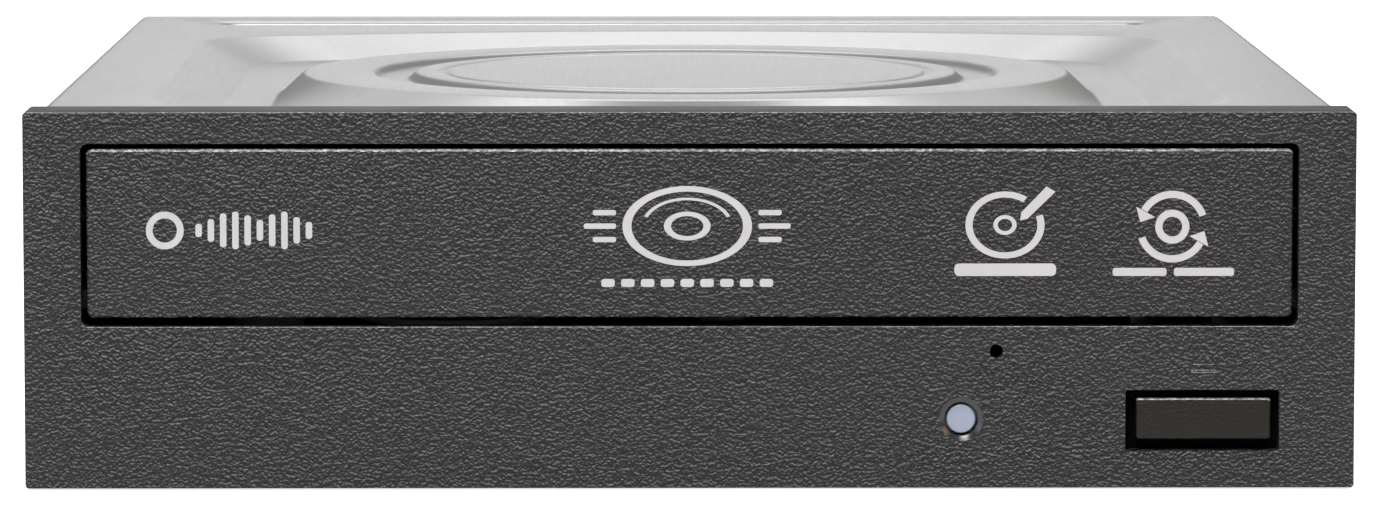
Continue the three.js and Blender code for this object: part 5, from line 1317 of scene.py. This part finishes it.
teeth += [(RACK_BACK, teeth[-1][1]), (RACK_BACK, teeth[0][1])]
weld(tray, blank("rack", teeth, tz[0], TRAY_LOW + 0.5))
smooth(tray, 30)
finished(tray, "tray", "frame_plastic", frame_plastic, "tray")

# %% [markdown]
# ## The connectors
#
# Power and data come in through two sockets at the rear edge of the main board. Each is a black
# moulding with a tongue, and gold contacts lie on the tongue. The contacts are thin plates, so each
# one is its own small solid inside one piece.

# %% Mould the connectors
SOCKET_WALL = 0.9
TONGUE_HALF = 0.6
CONTACT_SINK, CONTACT_PROUD = 0.58, 0.7  # both above the tongue's middle
CONTACT_SHARE = 0.3  # half a contact's width, as a share of the pitch


def contact_row(name, x0, x1, y, z, count):
    """Small plates in a row along X."""
    bm = bmesh.new()
    pitch = (x1 - x0) / count
    for i in range(count):
        x = x0 - 0.1 + (i + 0.5) * pitch
        half_width = pitch * CONTACT_SHARE
        low, high = ([v * MM for v in corner] for corner in zip((x - half_width, x + half_width), y, z))
        made = bmesh.ops.create_cube(bm, size=1)
        for v in made["verts"]:
            v.co = Vector([low[k] + (v.co[k] + 0.5) * (high[k] - low[k]) for k in range(3)])
        edges = list(dict.fromkeys(e for v in made["verts"] for e in v.link_edges))
        bmesh.ops.bevel(bm, geom=edges, offset=0.03 * MM, segments=1, affect="EDGES")
    return object_from(name, bm)


def connector(name, node, contacts):
    """A socket and its row of contacts."""
    (x0, x1), (y0, y1), (z0, z1) = mm_box(node)
    wall = SOCKET_WALL
    shell = blank(f"{name}_shell", rounded_box(x0, x1, z0, z1, 0.5), y0, y1, "y")
    mouth = rounded_box(x0 + wall, x1 - wall, z0 + wall, z1 - wall, 0.4)
    carve(shell, blank("mouth", mouth, y0 + 4, y1 + 1, "y"))
    middle_z = (z0 + z1) / 2
    tongue_z = (middle_z - TONGUE_HALF, middle_z + TONGUE_HALF)
    weld(shell, box_blank("tongue", (x0 + 1.9, x1 - 2.3), (y0 + 3, y1 - 1), tongue_z))
    break_edges(shell, 0.12, 2)
    finished(shell, "drive", "chip_plastic", chip_plastic, node)
    plate_z = (middle_z + CONTACT_SINK, middle_z + CONTACT_PROUD)
    plates = contact_row(f"{name}_contacts", x0 + 2.6, x1 - 2.6, (y0 + 5, y1 - 1.3), plate_z, contacts)
    finished(plates, "drive", "screw_steel", gold)


connector("data", "data_connector", 7)
connector("power", "power_connector", 15)

# %% [markdown]
# ## The mechanism
#
# What is left is inside the case, or shows only when the tray is out. These pieces already have
# their true shapes in the frame, so they keep them and take finishes. Gears are acetal, the plates
# are rolled steel, the pickup is a dark casting.

# %% Finish the hidden pieces
for subpart in frame["record"]["subparts"]:
    node = nodes[subpart["node"]]
    node.data.materials.clear()
    node.data.materials.append(finishes[subpart["material_slot"]])
    smooth(node, 30)
print(len(nodes), "frame nodes finished")
